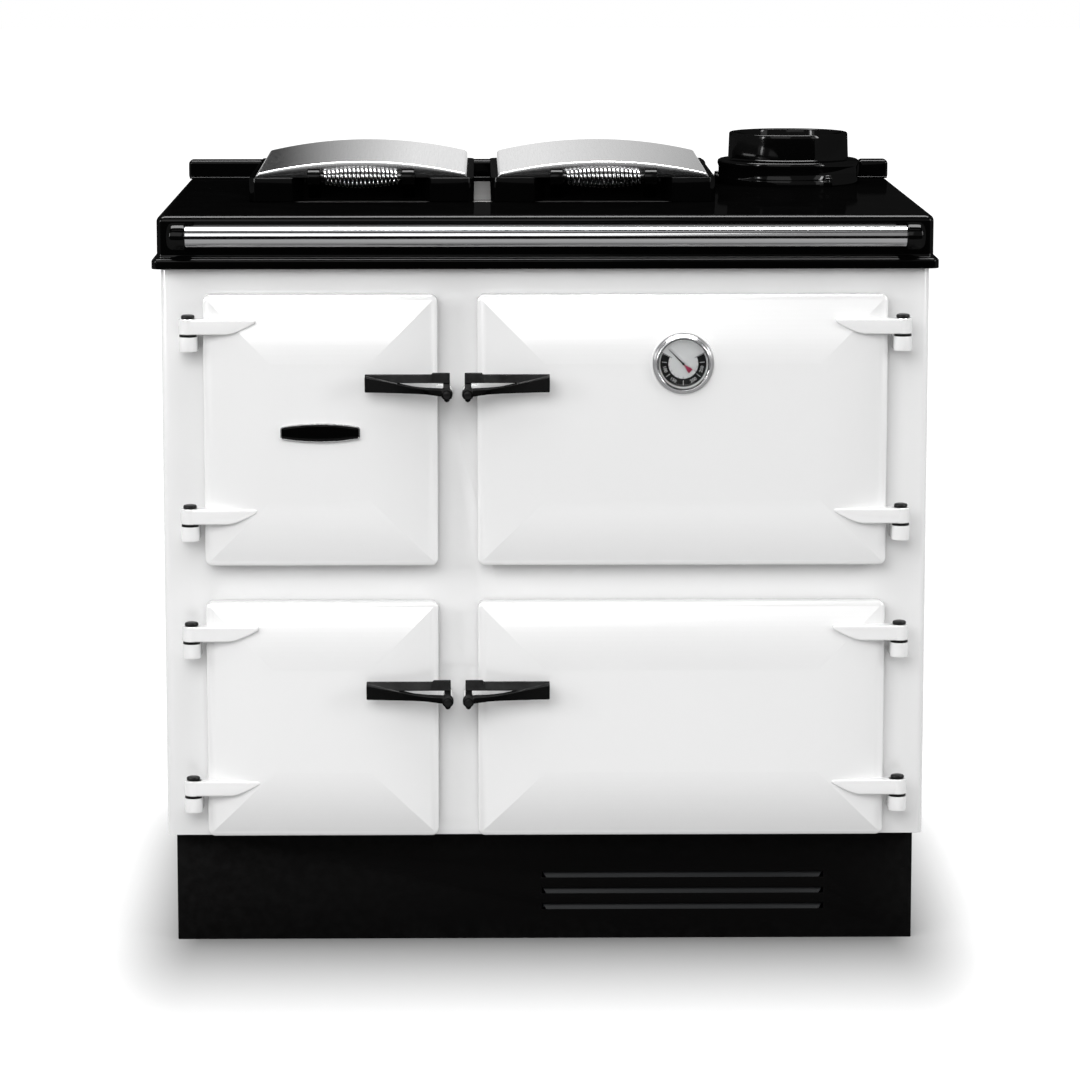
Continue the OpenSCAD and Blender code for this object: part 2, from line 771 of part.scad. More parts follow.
module flue_bolts() {
    color("silver") at_flue_bolts() {
        cylinder(r = flue_bolt_r, h = flue_lug_h);
        translate([0, 0, flue_lug_h]) cylinder(r = flue_bolt_r * 1.5, h = flue_bolt_r * 1.2, $fn = 6);
    }
}

// ---------- Towel rail ----------

module along_rail(x0, x1) {
    translate([x0, hob_front_y - rail_out, hob_top_z - rail_drop]) rotate([0, 90, 0])
        linear_extrude(x1 - x0) children();
}

module towel_rail() {
    color("silver") along_rail(-rail_l / 2, rail_l / 2) difference() {
        circle(rail_d / 2);
        circle(rail_d / 2 - rail_t);
    }
}

module rail_brackets() {
    back = hob_front_y + hob_flare;
    color("#0c0c0c") for (s = [-1, 1]) mirror([s < 0 ? 1 : 0, 0, 0]) {
        along_rail(rail_l / 2, rail_l / 2 + cup_l - cup_step_l) circle(cup_d / 2);
        along_rail(rail_l / 2 + cup_l - cup_step_l, rail_l / 2 + cup_l) circle(cup_d / 2 - cup_step);
        translate([rail_l / 2 + cup_l / 2, back, hob_top_z - rail_drop]) rotate([90, 0, 0])
            cylinder(r = min(rail_stem_r, cup_l / 2), h = back - hob_front_y + rail_out);
    }
}

// ---------- Doors ----------

// Cross-section of a door's front: the edges are arcs, the middle is flat
module crown_outline(l, base, inset, thin) {
    h = door_crown_out - thin - base + over;
    translate([bevel_cx, base - over]) square([l - 2 * bevel_cx, h]);
    for (m = [0, 1]) translate([m * l, 0]) mirror([m, 0]) intersection() {
        translate([inset - over, base - over]) square([bevel_cx - inset + over, h]);
        translate([bevel_cx, bevel_cz]) circle(bevel_r - thin, $fn = 360);
    }
}

// Pillow-shaped solid of a door, shrunk by a wall thickness and a rim for its hollow
module crown(w, h, base, inset, thin) {
    intersection() {
        translate([0, h + over, 0]) rotate([90, 0, 0]) linear_extrude(h + 2 * over)
            crown_outline(w, base, inset, thin);
        translate([-over, 0, 0]) rotate([90, 0, 90]) linear_extrude(w + 2 * over)
            crown_outline(h, base, inset, thin);
        translate([inset, inset, base]) linear_extrude(door_crown_out)
            round_rect(w - 2 * inset, h - 2 * inset, door_corner_r);
    }
}

// Plan of a hinge arm: knuckle at the origin, tip towards the door's middle
module arm_plan() {
    circle(knuckle_r);
    polygon([
        [0, knuckle_r], [pin_offset + door_wall_t, knuckle_r], [arm_l, pin_out - arm_root_out],
        [arm_l, pin_out - arm_tip_out], [0, -knuckle_r]
    ]);
}

module door_casting(d, gauge_hole = false) {
    w = door_w(d);
    h = door_h(d);
    color("white") difference() {
        union() {
            at_door(d) difference() {
                crown(w, h, door_gap, 0, 0);
                crown(w, h, door_gap - over, liner_in, door_wall_t);
                translate([door_rim_w, door_rim_w, door_gap - over]) linear_extrude(liner_t + over)
                    round_rect(w - 2 * door_rim_w, h - 2 * door_rim_w, door_corner_r);
            }
            at_hinges(d) translate([0, 0, washer_t + move_gap]) difference() {
                linear_extrude(arm_h - 2 * move_gap) arm_plan();
                translate([liner_in + pin_offset, pin_out - arm_root_out, -over])
                    cube([arm_l, arm_l, arm_h + 2 * over]);
            }
            at_latch(d) translate([0, 0, latch_lug_out]) {
                cylinder(r = latch_lug_h / 2, h = sleeve_out - latch_lug_out);
                translate([0, -latch_lug_h / 2, 0])
                    cube([latch_reach + latch_root_l, latch_lug_h, latch_lug_d]);
            }
        }
        at_hinges(d) translate([0, 0, -over])
            cylinder(r = pin_r + pin_play, h = washer_t + arm_h + 2 * over);
        at_latch(d) cylinder(r = spindle_r + pin_play, h = lever_out + over);
        if (gauge_hole) at_door(d) translate([w / 2, h - gauge_drop, 0]) {
            translate([0, 0, case_seat]) cylinder(r = bezel_r + gauge_fit, h = door_crown_out);
            cylinder(r = body_bore_r + gauge_fit, h = door_crown_out);
        }
    }
}

module door_liner(d) {
    w = door_w(d);
    h = door_h(d);
    plug = door_lap + liner_play;
    rim = door_rim_w + liner_fit;
    color("gainsboro") at_door(d) difference() {
        union() {
            translate([rim, rim, door_gap]) linear_extrude(liner_t)
                round_rect(w - 2 * rim, h - 2 * rim, door_corner_r);
            translate([plug, plug, -liner_reach]) linear_extrude(liner_reach + door_gap + liner_t / 2)
                round_rect(w - 2 * plug, h - 2 * plug, door_corner_r);
        }
        translate([plug + liner_t, plug + liner_t, liner_t - liner_reach])
            linear_extrude(liner_reach + door_gap + 2 * liner_t)
                round_rect(w - 2 * (plug + liner_t), h - 2 * (plug + liner_t), door_corner_r);
    }
}

module hinge_lugs() {
    color("white") for (d = door_places) at_hinges(d) difference() {
        translate([0, 0, -lug_h]) linear_extrude(lug_h) {
            circle(knuckle_r);
            translate([-knuckle_r, 0]) square([2 * knuckle_r, pin_out]);
        }
        translate([0, 0, -lug_h - over]) cylinder(r = pin_r + pin_play, h = lug_h + 2 * over);
    }
}

module hinge_washers() {
    color("black") for (d = door_places) at_hinges(d) difference() {
        cylinder(r = knuckle_r - 0.5, h = washer_t);
        translate([0, 0, -over]) cylinder(r = pin_r + pin_play, h = washer_t + 2 * over);
    }
}

module hinge_pins() {
    color("black") for (d = door_places) at_hinges(d) {
        translate([0, 0, -lug_h]) cylinder(r = pin_r, h = lug_h + washer_t + arm_h + move_gap);
        translate([0, 0, washer_t + arm_h]) cylinder(r = cap_r, h = cap_h);
    }
}

// Outline of a lever seen from the front, its pivot at the origin, free end towards +X
module lever_outline() {
    circle(lever_boss_r);
    translate([0, lever_top - limb_h]) square([lever_l - lever_tip_r, limb_h]);
    for (y = [lever_top - lever_tip_r, lever_top - lever_grip_h + lever_tip_r])
        translate([lever_l - lever_tip_r, y]) circle(lever_tip_r);
    translate([lever_l - lever_grip_h, lever_top - lever_grip_h + lever_tip_r])
        square([lever_grip_h, lever_grip_h - 2 * lever_tip_r]);
    translate([-lever_boss_r / 2, 0]) square([lever_boss_r, lever_top]);
    translate([-lever_boss_r / 2, lever_top - limb_h]) square([block_l, limb_h + block_rise]);
    lower_limb();
}

// The grip's lower limb: deep at the free end, thin where it reaches the pivot
module lower_limb() {
    foot = lever_top - lever_grip_h;
    slot_foot = lever_top - limb_h - lever_slot_h;
    polygon([
        [0, -lever_boss_r * 0.6], [0, slot_foot], [lever_l * 0.42, slot_foot + 1.5],
        [lever_l * 0.66, lever_top - limb_h + over], [lever_l - lever_tip_r, lever_top - limb_h + over],
        [lever_l - lever_tip_r, foot], [lever_l * 0.27, foot - 2.4]
    ]);
}

module lever_handle(d) {
    color("#0c0c0c") at_latch(d) difference() {
        union() {
            translate([0, 0, lever_out]) linear_extrude(limb_d) lever_outline();
            translate([0, 0, lever_out]) linear_extrude(grip_d) {
                circle(lever_boss_r);
                lower_limb();
            }
        }
        translate([0, 0, lever_out - over]) cylinder(r = spindle_r + pin_play, h = grip_d + 2 * over);
    }
}

module latch_spindle(d) {
    color("silver") at_latch(d) {
        translate([0, 0, roller_out]) cylinder(r = roller_r, h = roller_l);
        translate([0, 0, roller_out]) cylinder(r = spindle_r, h = lever_out + grip_d - roller_out);
        translate([0, 0, lever_out + grip_d]) cylinder(r = spindle_r + 1.5, h = rivet_h);
    }
}

module door_catches() {
    color("silver") for (d = door_places) at_latch(d)
        translate([-roller_r, -roller_r - move_gap - catch_h, 0]) cube([2 * roller_r, catch_h, catch_out]);
}

// ---------- Badge and thermometer ----------

module badge_plate() {
    x = badge_l / 2;
    y = badge_h / 2;
    color("silver") on_face()
        translate([left_door_x + left_door_w / 2, upper_door_z + upper_door_h / 2, door_crown_out])
            linear_extrude(badge_t) polygon([
                [-x, 0], [y - x, -y], [x - y, -y], [x, 0], [x - y, y], [y - x, y]
            ]);
}

module at_gauge() {
    on_face() translate([right_door_x + right_door_w / 2, upper_door_z + upper_door_h - gauge_drop, 0])
        children();
}

module thermometer_case() {
    color("silver") at_gauge() rotate_extrude() polygon([
        [0, case_back], [body_bore_r, case_back], [body_bore_r, case_seat], [bezel_r, case_seat],
        [bezel_r, bezel_front - 4], [bezel_r - 3, bezel_front], [dial_r - 1.5, bezel_front],
        [dial_r - 1.5, glass_out + glass_t], [dial_r + 0.1, glass_out + glass_t],
        [dial_r + 0.1, dial_out], [dial_r - 3, dial_out], [dial_r - 3, case_floor], [0, case_floor]
    ]);
}

module thermometer_dial() {
    color("whitesmoke") at_gauge() translate([0, 0, dial_out]) difference() {
        cylinder(r = dial_r, h = dial_t);
        translate([0, 0, -over]) cylinder(r = arbor_r + pin_play, h = dial_t + 2 * over);
    }
}

module thermometer_needle() {
    color("crimson") at_gauge() rotate(needle_turn) {
        translate([0, 0, needle_out]) cylinder(r = hub_r, h = hub_t);
        translate([0, 0, case_floor + move_gap])
            cylinder(r = arbor_r, h = needle_out - case_floor - move_gap);
        translate([0, 0, needle_out + hub_t / 4]) linear_extrude(hub_t / 2)
            polygon([[0, 1.3], [7 - tail_l, 0.9], [7 - tail_l, 3], [-tail_l, 0], [7 - tail_l, -3],
                [7 - tail_l, -0.9], [0, -1.3], [needle_l, -0.35], [needle_l, 0.35]]);
    }
}

module thermometer_glass() {
    color("lightblue", 0.4) at_gauge() translate([0, 0, glass_out]) cylinder(r = dial_r, h = glass_t);
}

// ---------- Lids ----------

// Plan of a lid from its front left corner, with the handle recess cut in
module lid_plan() {
    difference() {
        round_rect(lid_w, lid_d, lid_corner_r);
        translate([lid_w / 2, 0]) polygon([
            [-recess_w / 2, -over], [-recess_back_w / 2, recess_d],
            [recess_back_w / 2, recess_d], [recess_w / 2, -over]
        ]);
    }
}

module lid_frame(x) {
    color("#0c0c0c") translate([x - lid_w / 2, lid_front_y, lid_foot_z]) difference() {
        union() {
            linear_extrude(lid_band_h - lid_lift) lid_plan();
            for (s = [-1, 1]) translate([lid_w / 2 + s * lid_hinge_x - lid_knuckle_w / 2, lid_d, 0])
                lid_knuckle();
        }
        translate([lid_wall_t, lid_block_d, -over])
            cube([lid_w - 2 * lid_wall_t, lid_d - lid_block_d - lid_wall_t, lid_band_h + 2 * over]);
        for (s = [-1, 1]) translate([lid_w / 2 + s * lid_hinge_x - lid_knuckle_w / 2 - over,
            lid_d + lid_hinge_out, lid_hinge_z - lid_lift]) rotate([0, 90, 0])
            cylinder(r = lid_pin_r + pin_play, h = lid_knuckle_w + 2 * over);
    }
}

// Knuckle behind a lid, from the lid's back face to the hinge axis
module lid_knuckle() {
    z = lid_hinge_z - lid_lift;
    rotate([90, 0, 90]) linear_extrude(lid_knuckle_w) {
        translate([lid_hinge_out, z]) circle(lid_knuckle_r);
        translate([-over, z - lid_knuckle_r]) square([lid_hinge_out + over, 2 * lid_knuckle_r]);
    }
}

// Arch across a lid's dome, shrunk by a thickness for its hollow
module dome_arch(thin) {
    top = dome_side_h + dome_rise - thin;
    intersection() {
        translate([thin - dome_w / 2, -dome_w]) square([dome_w - 2 * thin, top + dome_w]);
        translate([0, dome_side_h + dome_rise - dome_r]) circle(dome_r - thin, $fn = 360);
    }
}

module lid_dome(x) {
    color("lightgray") translate([x, lid_front_y + dome_end_inset, band_top_z]) intersection() {
        difference() {
            rotate([dome_tilt, 0, 0]) dome_run(0, dome_d) dome_arch(0);
            rotate([dome_tilt, 0, 0]) dome_run(dome_t, dome_d - 2 * dome_t) dome_arch(dome_t);
        }
        translate([-dome_w, -over, 0]) cube([2 * dome_w, dome_d + 2 * over, lid_band_h * 2]);
    }
}

// Runs an upright outline back along a lid
module dome_run(start, l) translate([0, start + l, 0]) rotate([90, 0, 0]) linear_extrude(l) children();

module lid_liner(x) {
    w = lid_w - 2 * lid_wall_t;
    d = lid_d - lid_block_d - lid_wall_t;
    color("silver") translate([x - w / 2, lid_front_y + lid_block_d, band_top_z - liner_pan_h]) difference() {
        cube([w, d, liner_pan_h]);
        translate([dome_t, dome_t, dome_t]) cube([w - 2 * dome_t, d - 2 * dome_t, liner_pan_h]);
    }
}

module handle_posts(x) {
    back = lid_front_y + recess_d;
    color("#0c0c0c") for (s = [-1, 1])
        translate([x + s * (coil_l + post_w) / 2 - post_w / 2, 0, 0]) difference() {
            rotate([90, 0, 90]) linear_extrude(post_w) {
                translate([coil_y, coil_axis_z]) circle(post_r);
                polygon([
                    [coil_y, coil_axis_z - post_r], [back, hob_top_z + lid_lift + 3],
                    [back, band_top_z - 1], [lid_front_y + dome_end_inset - 1, band_top_z - 1],
                    [coil_y, coil_axis_z + post_r]
                ]);
            }
            translate([-over, coil_y, coil_axis_z]) rotate([0, 90, 0])
                cylinder(r = rod_r, h = post_w + 2 * over);
        }
}

module handle_rod(x) {
    l = coil_l + 2 * post_w;
    color("silver") translate([x - l / 2, coil_y, coil_axis_z]) rotate([0, 90, 0])
        cylinder(r = rod_r, h = l);
}

module handle_coil(x) {
    color("silver") translate([x, coil_y, coil_axis_z]) polyhedron(coil_points, coil_faces);
}

module lid_hinge_blocks() {
    y = hinge_axis_y;
    color("#0c0c0c") for (x = lid_x, s = [-1, 1])
        translate([x + s * lid_hinge_x + lid_knuckle_w / 2 + move_gap, 0, 0]) {
            rotate([90, 0, 90]) linear_extrude(ear_w) {
                translate([y, hinge_axis_z]) circle(lid_knuckle_r);
                translate([y - lid_knuckle_r, hob_top_z]) square([2 * lid_knuckle_r, lid_hinge_z]);
            }
            translate([-lid_knuckle_w - move_gap, y, hinge_axis_z]) rotate([0, 90, 0])
                cylinder(r = lid_pin_r, h = lid_knuckle_w + move_gap + ear_w / 2);
        }
}

// ---------- Ovens and fire ----------

// Box behind a door's opening, open at the front
module oven_box(d, wall, depth) {
    x = d[0] + door_lap;
    z = d[1] + door_lap;
    w = door_w(d) - 2 * door_lap;
    h = door_h(d) - 2 * door_lap;
    difference() {
        translate([x - wall, inner_y, z - wall]) cube([w + 2 * wall, depth, h + 2 * wall]);
        translate([x, inner_y - over, z]) cube([w, depth + over - wall, h]);
    }
}

function shelf_z(d) = d[1] + door_h(d) / 2;

module oven(d) {
    color("dimgray") {
        oven_box(d, oven_wall_t, oven_d);
        for (x = [d[0] + door_lap - over, d[0] + door_w(d) - door_lap - runner_w])
            translate([x, inner_y + 2 * runner_w, shelf_z(d) - runner_w])
                cube([runner_w + over, oven_d - 2 * runner_w - oven_wall_t, runner_w]);
    }
}

module oven_shelves() {
    color("silver") for (d = [oven_place, warm_place])
        translate([d[0] + door_lap + shelf_play, inner_y + liner_reach + shelf_gap, shelf_z(d)])
            linear_extrude(shelf_t) shelf_grid(door_w(d) - 2 * (door_lap + shelf_play),
                oven_d - oven_wall_t - liner_reach - 2 * shelf_gap);
}

// Rim and bars of a shelf
module shelf_grid(w, l) {
    difference() {
        square([w, l]);
        translate([shelf_t, shelf_t]) square([w - 2 * shelf_t, l - 2 * shelf_t]);
    }
    for (x = [shelf_pitch : shelf_pitch : w - shelf_pitch / 2]) translate([x, 0]) square([shelf_t, l]);
}

module firebox() {
    d = fire_place;
    color("dimgray") difference() {
        oven_box(d, firebox_wall_t, firebox_d);
        translate([d[0] + door_w(d) / 2, inner_y + firebox_d / 2, d[1]])
            cylinder(r = throat_r, h = 2 * door_lap);
        translate([d[0] + door_lap + firebox_rim, inner_y + 3 * firebox_rim, d[1] + door_h(d) - door_lap - over])
            cube([door_w(d) - 2 * (door_lap + firebox_rim), firebox_d - 5 * firebox_rim, 2 * door_lap]);
    }
}

module burner() {
    d = burner_place;
    color("gray") translate([d[0] + door_w(d) / 2, inner_y + firebox_d / 2, base_top_z]) {
        translate([-burner_r, -burner_r, 0]) cube([2 * burner_r, 2 * burner_r, burner_stand_h]);
        difference() {
            cylinder(r = burner_r, h = fire_place[1] + door_lap - base_top_z);
            translate([0, 0, burner_stand_h + pot_floor_t])
                cylinder(r = burner_r - pot_floor_t, h = fire_place[1]);
        }
    }
}

module insulation_slabs() {
    side_x = body_w / 2 - return_t - wool_gap;
    back_y = body_back_y - panel_t - wool_gap;
    y = face_y + return_d + wool_gap;
    h = body_top_z - door_head_gap - base_top_z;
    color("khaki") {
        for (x = [-side_x, side_x - wool_t]) translate([x, y, base_top_z]) cube([wool_t, back_y - y, h]);
        translate([wool_t + wool_gap - side_x, back_y - wool_t, base_top_z])
            cube([2 * (side_x - wool_t - wool_gap), wool_t, h]);
    }
}

plinth();
base_plate();
front_plate();
side_panel(-1);  // side_panel_left
side_panel(1);  // side_panel_right
back_panel();
top_plate();
rear_upstand();
hotplate();
hotplate_seal();
flue_collar();
flue_spigot();
flue_bolts();
towel_rail();
rail_brackets();
hinge_lugs();
hinge_pins();
hinge_washers();
door_catches();
lid_hinge_blocks();
door_seals();
oven(oven_place);  // main_oven
oven(warm_place);  // lower_oven
oven_shelves();
firebox();
burner();
insulation_slabs();
door_casting(fire_place);  // fire_door
door_casting(oven_place, true);  // main_oven_door
door_casting(burner_place);  // burner_door
door_casting(warm_place);  // lower_oven_door
door_liner(fire_place);  // fire_door_liner
door_liner(oven_place);  // main_oven_door_liner
door_liner(burner_place);  // burner_door_liner
door_liner(warm_place);  // lower_oven_door_liner
lever_handle(fire_place);  // fire_door_handle
lever_handle(oven_place);  // main_oven_door_handle
lever_handle(burner_place);  // burner_door_handle
lever_handle(warm_place);  // lower_oven_door_handle
latch_spindle(fire_place);  // fire_door_spindle
latch_spindle(oven_place);  // main_oven_door_spindle
latch_spindle(burner_place);  // burner_door_spindle
latch_spindle(warm_place);  // lower_oven_door_spindle
badge_plate();
thermometer_case();
thermometer_dial();
thermometer_needle();
thermometer_glass();
lid_frame(lid_x[0]);  // lid_frame_left
lid_dome(lid_x[0]);  // lid_dome_left
lid_liner(lid_x[0]);  // lid_liner_left
handle_posts(lid_x[0]);  // lid_handle_posts_left
handle_rod(lid_x[0]);  // lid_handle_rod_left
handle_coil(lid_x[0]);  // lid_handle_coil_left
lid_frame(lid_x[1]);  // lid_frame_right
lid_dome(lid_x[1]);  // lid_dome_right
lid_liner(lid_x[1]);  // lid_liner_right
handle_posts(lid_x[1]);  // lid_handle_posts_right
handle_rod(lid_x[1]);  // lid_handle_rod_right
handle_coil(lid_x[1]);  // lid_handle_coil_right
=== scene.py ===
import math
from collections import namedtuple

import bmesh
import bpy
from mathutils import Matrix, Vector


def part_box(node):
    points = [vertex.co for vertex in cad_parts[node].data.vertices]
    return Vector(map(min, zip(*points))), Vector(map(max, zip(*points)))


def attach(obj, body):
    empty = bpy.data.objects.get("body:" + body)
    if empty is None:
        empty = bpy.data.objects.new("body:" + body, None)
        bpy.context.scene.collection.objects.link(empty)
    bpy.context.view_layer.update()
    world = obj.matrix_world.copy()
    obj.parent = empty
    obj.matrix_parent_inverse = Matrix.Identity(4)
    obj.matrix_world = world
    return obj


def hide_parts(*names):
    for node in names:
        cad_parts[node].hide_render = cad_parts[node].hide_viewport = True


bl_info = {
    "name": "Range cooker",
    "version": (1, 0, 0),
    "blender": (4, 5, 0),
    "location": "3D View > Sidebar > Cooker",
    "description": "Dresses the cast iron range cooker: doors, hob, lids, handles and finishes",
    "category": "Object",
}

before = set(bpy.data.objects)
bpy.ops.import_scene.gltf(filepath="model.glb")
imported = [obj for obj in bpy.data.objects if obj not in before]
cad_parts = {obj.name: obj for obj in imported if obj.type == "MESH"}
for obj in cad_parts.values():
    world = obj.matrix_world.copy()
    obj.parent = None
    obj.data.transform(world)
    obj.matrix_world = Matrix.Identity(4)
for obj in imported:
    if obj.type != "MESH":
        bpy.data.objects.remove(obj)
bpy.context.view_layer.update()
MM = 0.001
SAME = 1e-5  # two places nearer than this, in metres, are one
CREASE = 38  # edges that turn by more degrees than this are rounded, and shaded as sharp


# ---------- Settings ----------

class CookerSizes(bpy.types.PropertyGroup):
    """Sizes that the dressed pieces add to the part's own."""
    casting_round: bpy.props.FloatProperty(
        name="Casting edge radius", description="Rounding along the edges of cast pieces",
        default=1.6 * MM, min=0.2 * MM, max=3 * MM, unit="LENGTH")
    sheet_round: bpy.props.FloatProperty(
        name="Sheet edge radius", description="Rounding along the edges of sheet metal",
        default=0.7 * MM, min=0.1 * MM, max=2 * MM, unit="LENGTH")
    bevel_rings: bpy.props.IntProperty(
        name="Rings in a door's bevel", description="How finely the curved bevel of a door is cut",
        default=14, min=4, max=30)
    rail_wall: bpy.props.FloatProperty(
        name="Towel rail wall", description="Wall thickness of the towel rail",
        default=2 * MM, min=1 * MM, max=4 * MM, unit="LENGTH")
    wire_thickness: bpy.props.FloatProperty(
        name="Coil wire", description="Thickness of the wire in the coil handles",
        default=4.3 * MM, min=3 * MM, max=5 * MM, unit="LENGTH")


class CookerColours(bpy.types.PropertyGroup):
    """Colours of the finishes."""
    pale_enamel: bpy.props.FloatVectorProperty(
        name="Pale enamel", description="Colour of the enamelled body and doors",
        default=(0.84, 0.84, 0.84), min=0, max=1, subtype="COLOR")
    black_enamel: bpy.props.FloatVectorProperty(
        name="Black enamel", description="Colour of the hob, the lids and the levers",
        default=(0.0012, 0.0012, 0.0012), min=0, max=1, subtype="COLOR")
    plinth_paint: bpy.props.FloatVectorProperty(
        name="Plinth paint", description="Colour of the plinth's satin paint",
        default=(0.0015, 0.0014, 0.0014), min=0, max=1, subtype="COLOR")
    arrow: bpy.props.FloatVectorProperty(
        name="Pointer tail", description="Colour of the arrow on the thermometer's pointer",
        default=(0.28, 0.008, 0.05), min=0, max=1, subtype="COLOR")


class StudioSettings(bpy.types.PropertyGroup):
    """Light and camera."""
    key_power: bpy.props.FloatProperty(
        name="Key light", description="Power of the large soft light",
        default=113, min=0, unit="POWER")
    side_power: bpy.props.FloatProperty(
        name="Side lights", description="Power of each light at the side",
        default=24, min=0, unit="POWER")
    top_power: bpy.props.FloatProperty(
        name="Overhead light", description="Power of the light overhead",
        default=22, min=0, unit="POWER")
    glint_power: bpy.props.FloatProperty(
        name="Glints", description="Power of the lights seen only in glossy surfaces",
        default=1000, min=0, unit="POWER")
    rear_glow: bpy.props.FloatProperty(
        name="Rear card", description="Brightness of the card behind the lids",
        default=1.25, min=0)
    fill: bpy.props.FloatProperty(
        name="Fill", description="Strength of the light from all round",
        default=0.5, min=0, max=1)
    lens: bpy.props.FloatProperty(
        name="Lens", description="Focal length of the camera", default=146.2, min=20, max=300,
        subtype="DISTANCE_CAMERA")


def sizes():
    return bpy.context.scene.cooker_sizes


def colours():
    return bpy.context.scene.cooker_colours


def studio():
    return bpy.context.scene.cooker_studio


# ---------- Shared modelling steps ----------

def deselect():
    bpy.ops.object.select_all(action="DESELECT")


def choose(piece):
    deselect()
    piece.select_set(True)
    bpy.context.view_layer.objects.active = piece


def fix_place(piece):
    choose(piece)
    bpy.ops.object.transform_apply(location=True, rotation=True, scale=True)


def added(name, add, **place):
    deselect()
    add(**place)
    piece = bpy.context.object
    piece.name = name
    return piece


class Shaping:
    """Edit mode on one piece, with nothing selected at first."""

    def __init__(self, piece, kind="FACE"):
        self.piece, self.kind = piece, kind

    def __enter__(self):
        choose(self.piece)
        bpy.ops.object.mode_set(mode="EDIT")
        bpy.ops.mesh.select_mode(type=self.kind)
        bpy.ops.mesh.select_all(action="DESELECT")
        return self

    def pick(self, test):
        """Selects the faces, edges or vertices that a test names by place or normal."""
        shape = bmesh.from_edit_mesh(self.piece.data)
        bpy.ops.mesh.select_all(action="DESELECT")
        items = {"FACE": shape.faces, "EDGE": shape.edges, "VERT": shape.verts}[self.kind]
        for item in items:
            if test(item):
                item.select_set(True)
        shape.select_flush_mode()
        bmesh.update_edit_mesh(self.piece.data)

    def slide(self, test, by):
        self.pick(test)
        bpy.ops.transform.translate(value=by)

    def squeeze(self, test, by, about):
        self.pick(test)
        bpy.ops.transform.resize(value=by, center_override=about)

    def __exit__(self, *_):
        bpy.ops.object.mode_set(mode="OBJECT")


def near(value, target):
    return abs(value - target) < SAME


def mm(*values):
    """A place or a row of sizes given in millimetres."""
    return tuple(value * MM for value in values)


def faces_front(face):
    return face.normal.y < -0.9


def runs(axis, least):
    """A test for the edges that run along X, Y or Z for more than a length."""
    i = "XYZ".index(axis)
    return lambda edge: abs(edge.verts[0].co[i] - edge.verts[1].co[i]) > least


def cut_across(piece, least, steps):
    """Divides the edges along X that are longer than a length into equal steps."""
    with Shaping(piece, "EDGE") as shape:
        shape.pick(runs("X", least))
        bpy.ops.mesh.subdivide(number_cuts=steps - 1)


def block(name, low, high):
    """A box between two corners, its place in its mesh."""
    low, high = Vector(low), Vector(high)
    piece = added(name, bpy.ops.mesh.primitive_cube_add, size=1, location=(low + high) / 2)
    piece.scale = high - low
    fix_place(piece)
    return piece


def outward(piece):
    with Shaping(piece):
        bpy.ops.mesh.select_all(action="SELECT")
        bpy.ops.mesh.remove_doubles(threshold=1e-6)
        bpy.ops.mesh.normals_make_consistent(inside=False)


def apply_modifier(piece, kind, **settings):
    choose(piece)
    modifier = piece.modifiers.new(kind.title(), kind)
    for key, value in settings.items():
        setattr(modifier, key, value)
    bpy.ops.object.modifier_apply(modifier=modifier.name)


def round_edges(piece, width, segments=3, angle=CREASE):
    apply_modifier(piece, "BEVEL", width=width, segments=segments, limit_method="ANGLE",
                   angle_limit=math.radians(angle), use_clamp_overlap=True)


def cut(piece, tool):
    apply_modifier(piece, "BOOLEAN", operation="DIFFERENCE", object=tool, solver="EXACT")
    bpy.data.objects.remove(tool, do_unlink=True)


def joined(name, parts):
    deselect()
    for part in parts:
        part.select_set(True)
    bpy.context.view_layer.objects.active = parts[0]
    if len(parts) > 1:
        bpy.ops.object.join()
    piece = bpy.context.object
    piece.name = name
    return piece


def extrude_up(by):
    bpy.ops.mesh.extrude_region_move(TRANSFORM_OT_translate={"value": (0, 0, by)})


def turned(name, profile, segments=48, ring=False):
    """A lathe shape along +Z from (radius, height) pairs. A ring's profile closes on itself."""
    first_r, first_z = profile[0]
    piece = added(name, bpy.ops.mesh.primitive_circle_add, vertices=segments, radius=first_r,
                  location=(0, 0, first_z), fill_type="NOTHING" if ring else "NGON")
    fix_place(piece)
    with Shaping(piece, "EDGE" if ring else "FACE"):
        bpy.ops.mesh.select_all(action="SELECT")
        last_r, last_z = first_r, first_z
        for r, z in profile[1:] + (profile[:1] if ring else []):
            extrude_up(z - last_z)
            if r != last_r:
                bpy.ops.transform.resize(value=(r / last_r, r / last_r, 1), center_override=(0, 0, 0))
            last_r, last_z = r, z
    outward(piece)
    return piece


def lathe(name, profile, segments=48, ring=False):
    """The same from a profile in millimetres."""
    return turned(name, [mm(*pair) for pair in profile], segments, ring)


def placed(piece, at, turn=(0, 0, 0), flip=(1, 1, 1)):
    """Turns, mirrors and moves a piece made at the origin, and fixes its place."""
    piece.rotation_euler = [math.radians(a) for a in turn]
    piece.scale = flip
    piece.location = at
    fix_place(piece)
    if flip[0] * flip[1] * flip[2] < 0:
        outward(piece)
    return piece


def twin(piece, name):
    """A copy with its own mesh."""
    choose(piece)
    bpy.ops.object.duplicate(linked=False)
    copy = bpy.context.object
    copy.name = name
    return copy


def softened(node, width, segments=3, angle=CREASE, first=None):
    """A CAD node's own shape with its triangles merged to faces and its edges rounded."""
    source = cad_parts[node]
    piece = bpy.data.objects.new(node + "_shown", source.data.copy())
    bpy.context.scene.collection.objects.link(piece)
    piece.data.materials.clear()
    with Shaping(piece):
        bpy.ops.mesh.select_all(action="SELECT")
        bpy.ops.mesh.customdata_custom_splitnormals_clear()
        bpy.ops.mesh.remove_doubles(threshold=2e-6)
        bpy.ops.mesh.dissolve_limited(angle_limit=math.radians(1))
    if first:
        first(piece)
    round_edges(piece, width, segments, angle)
    return piece


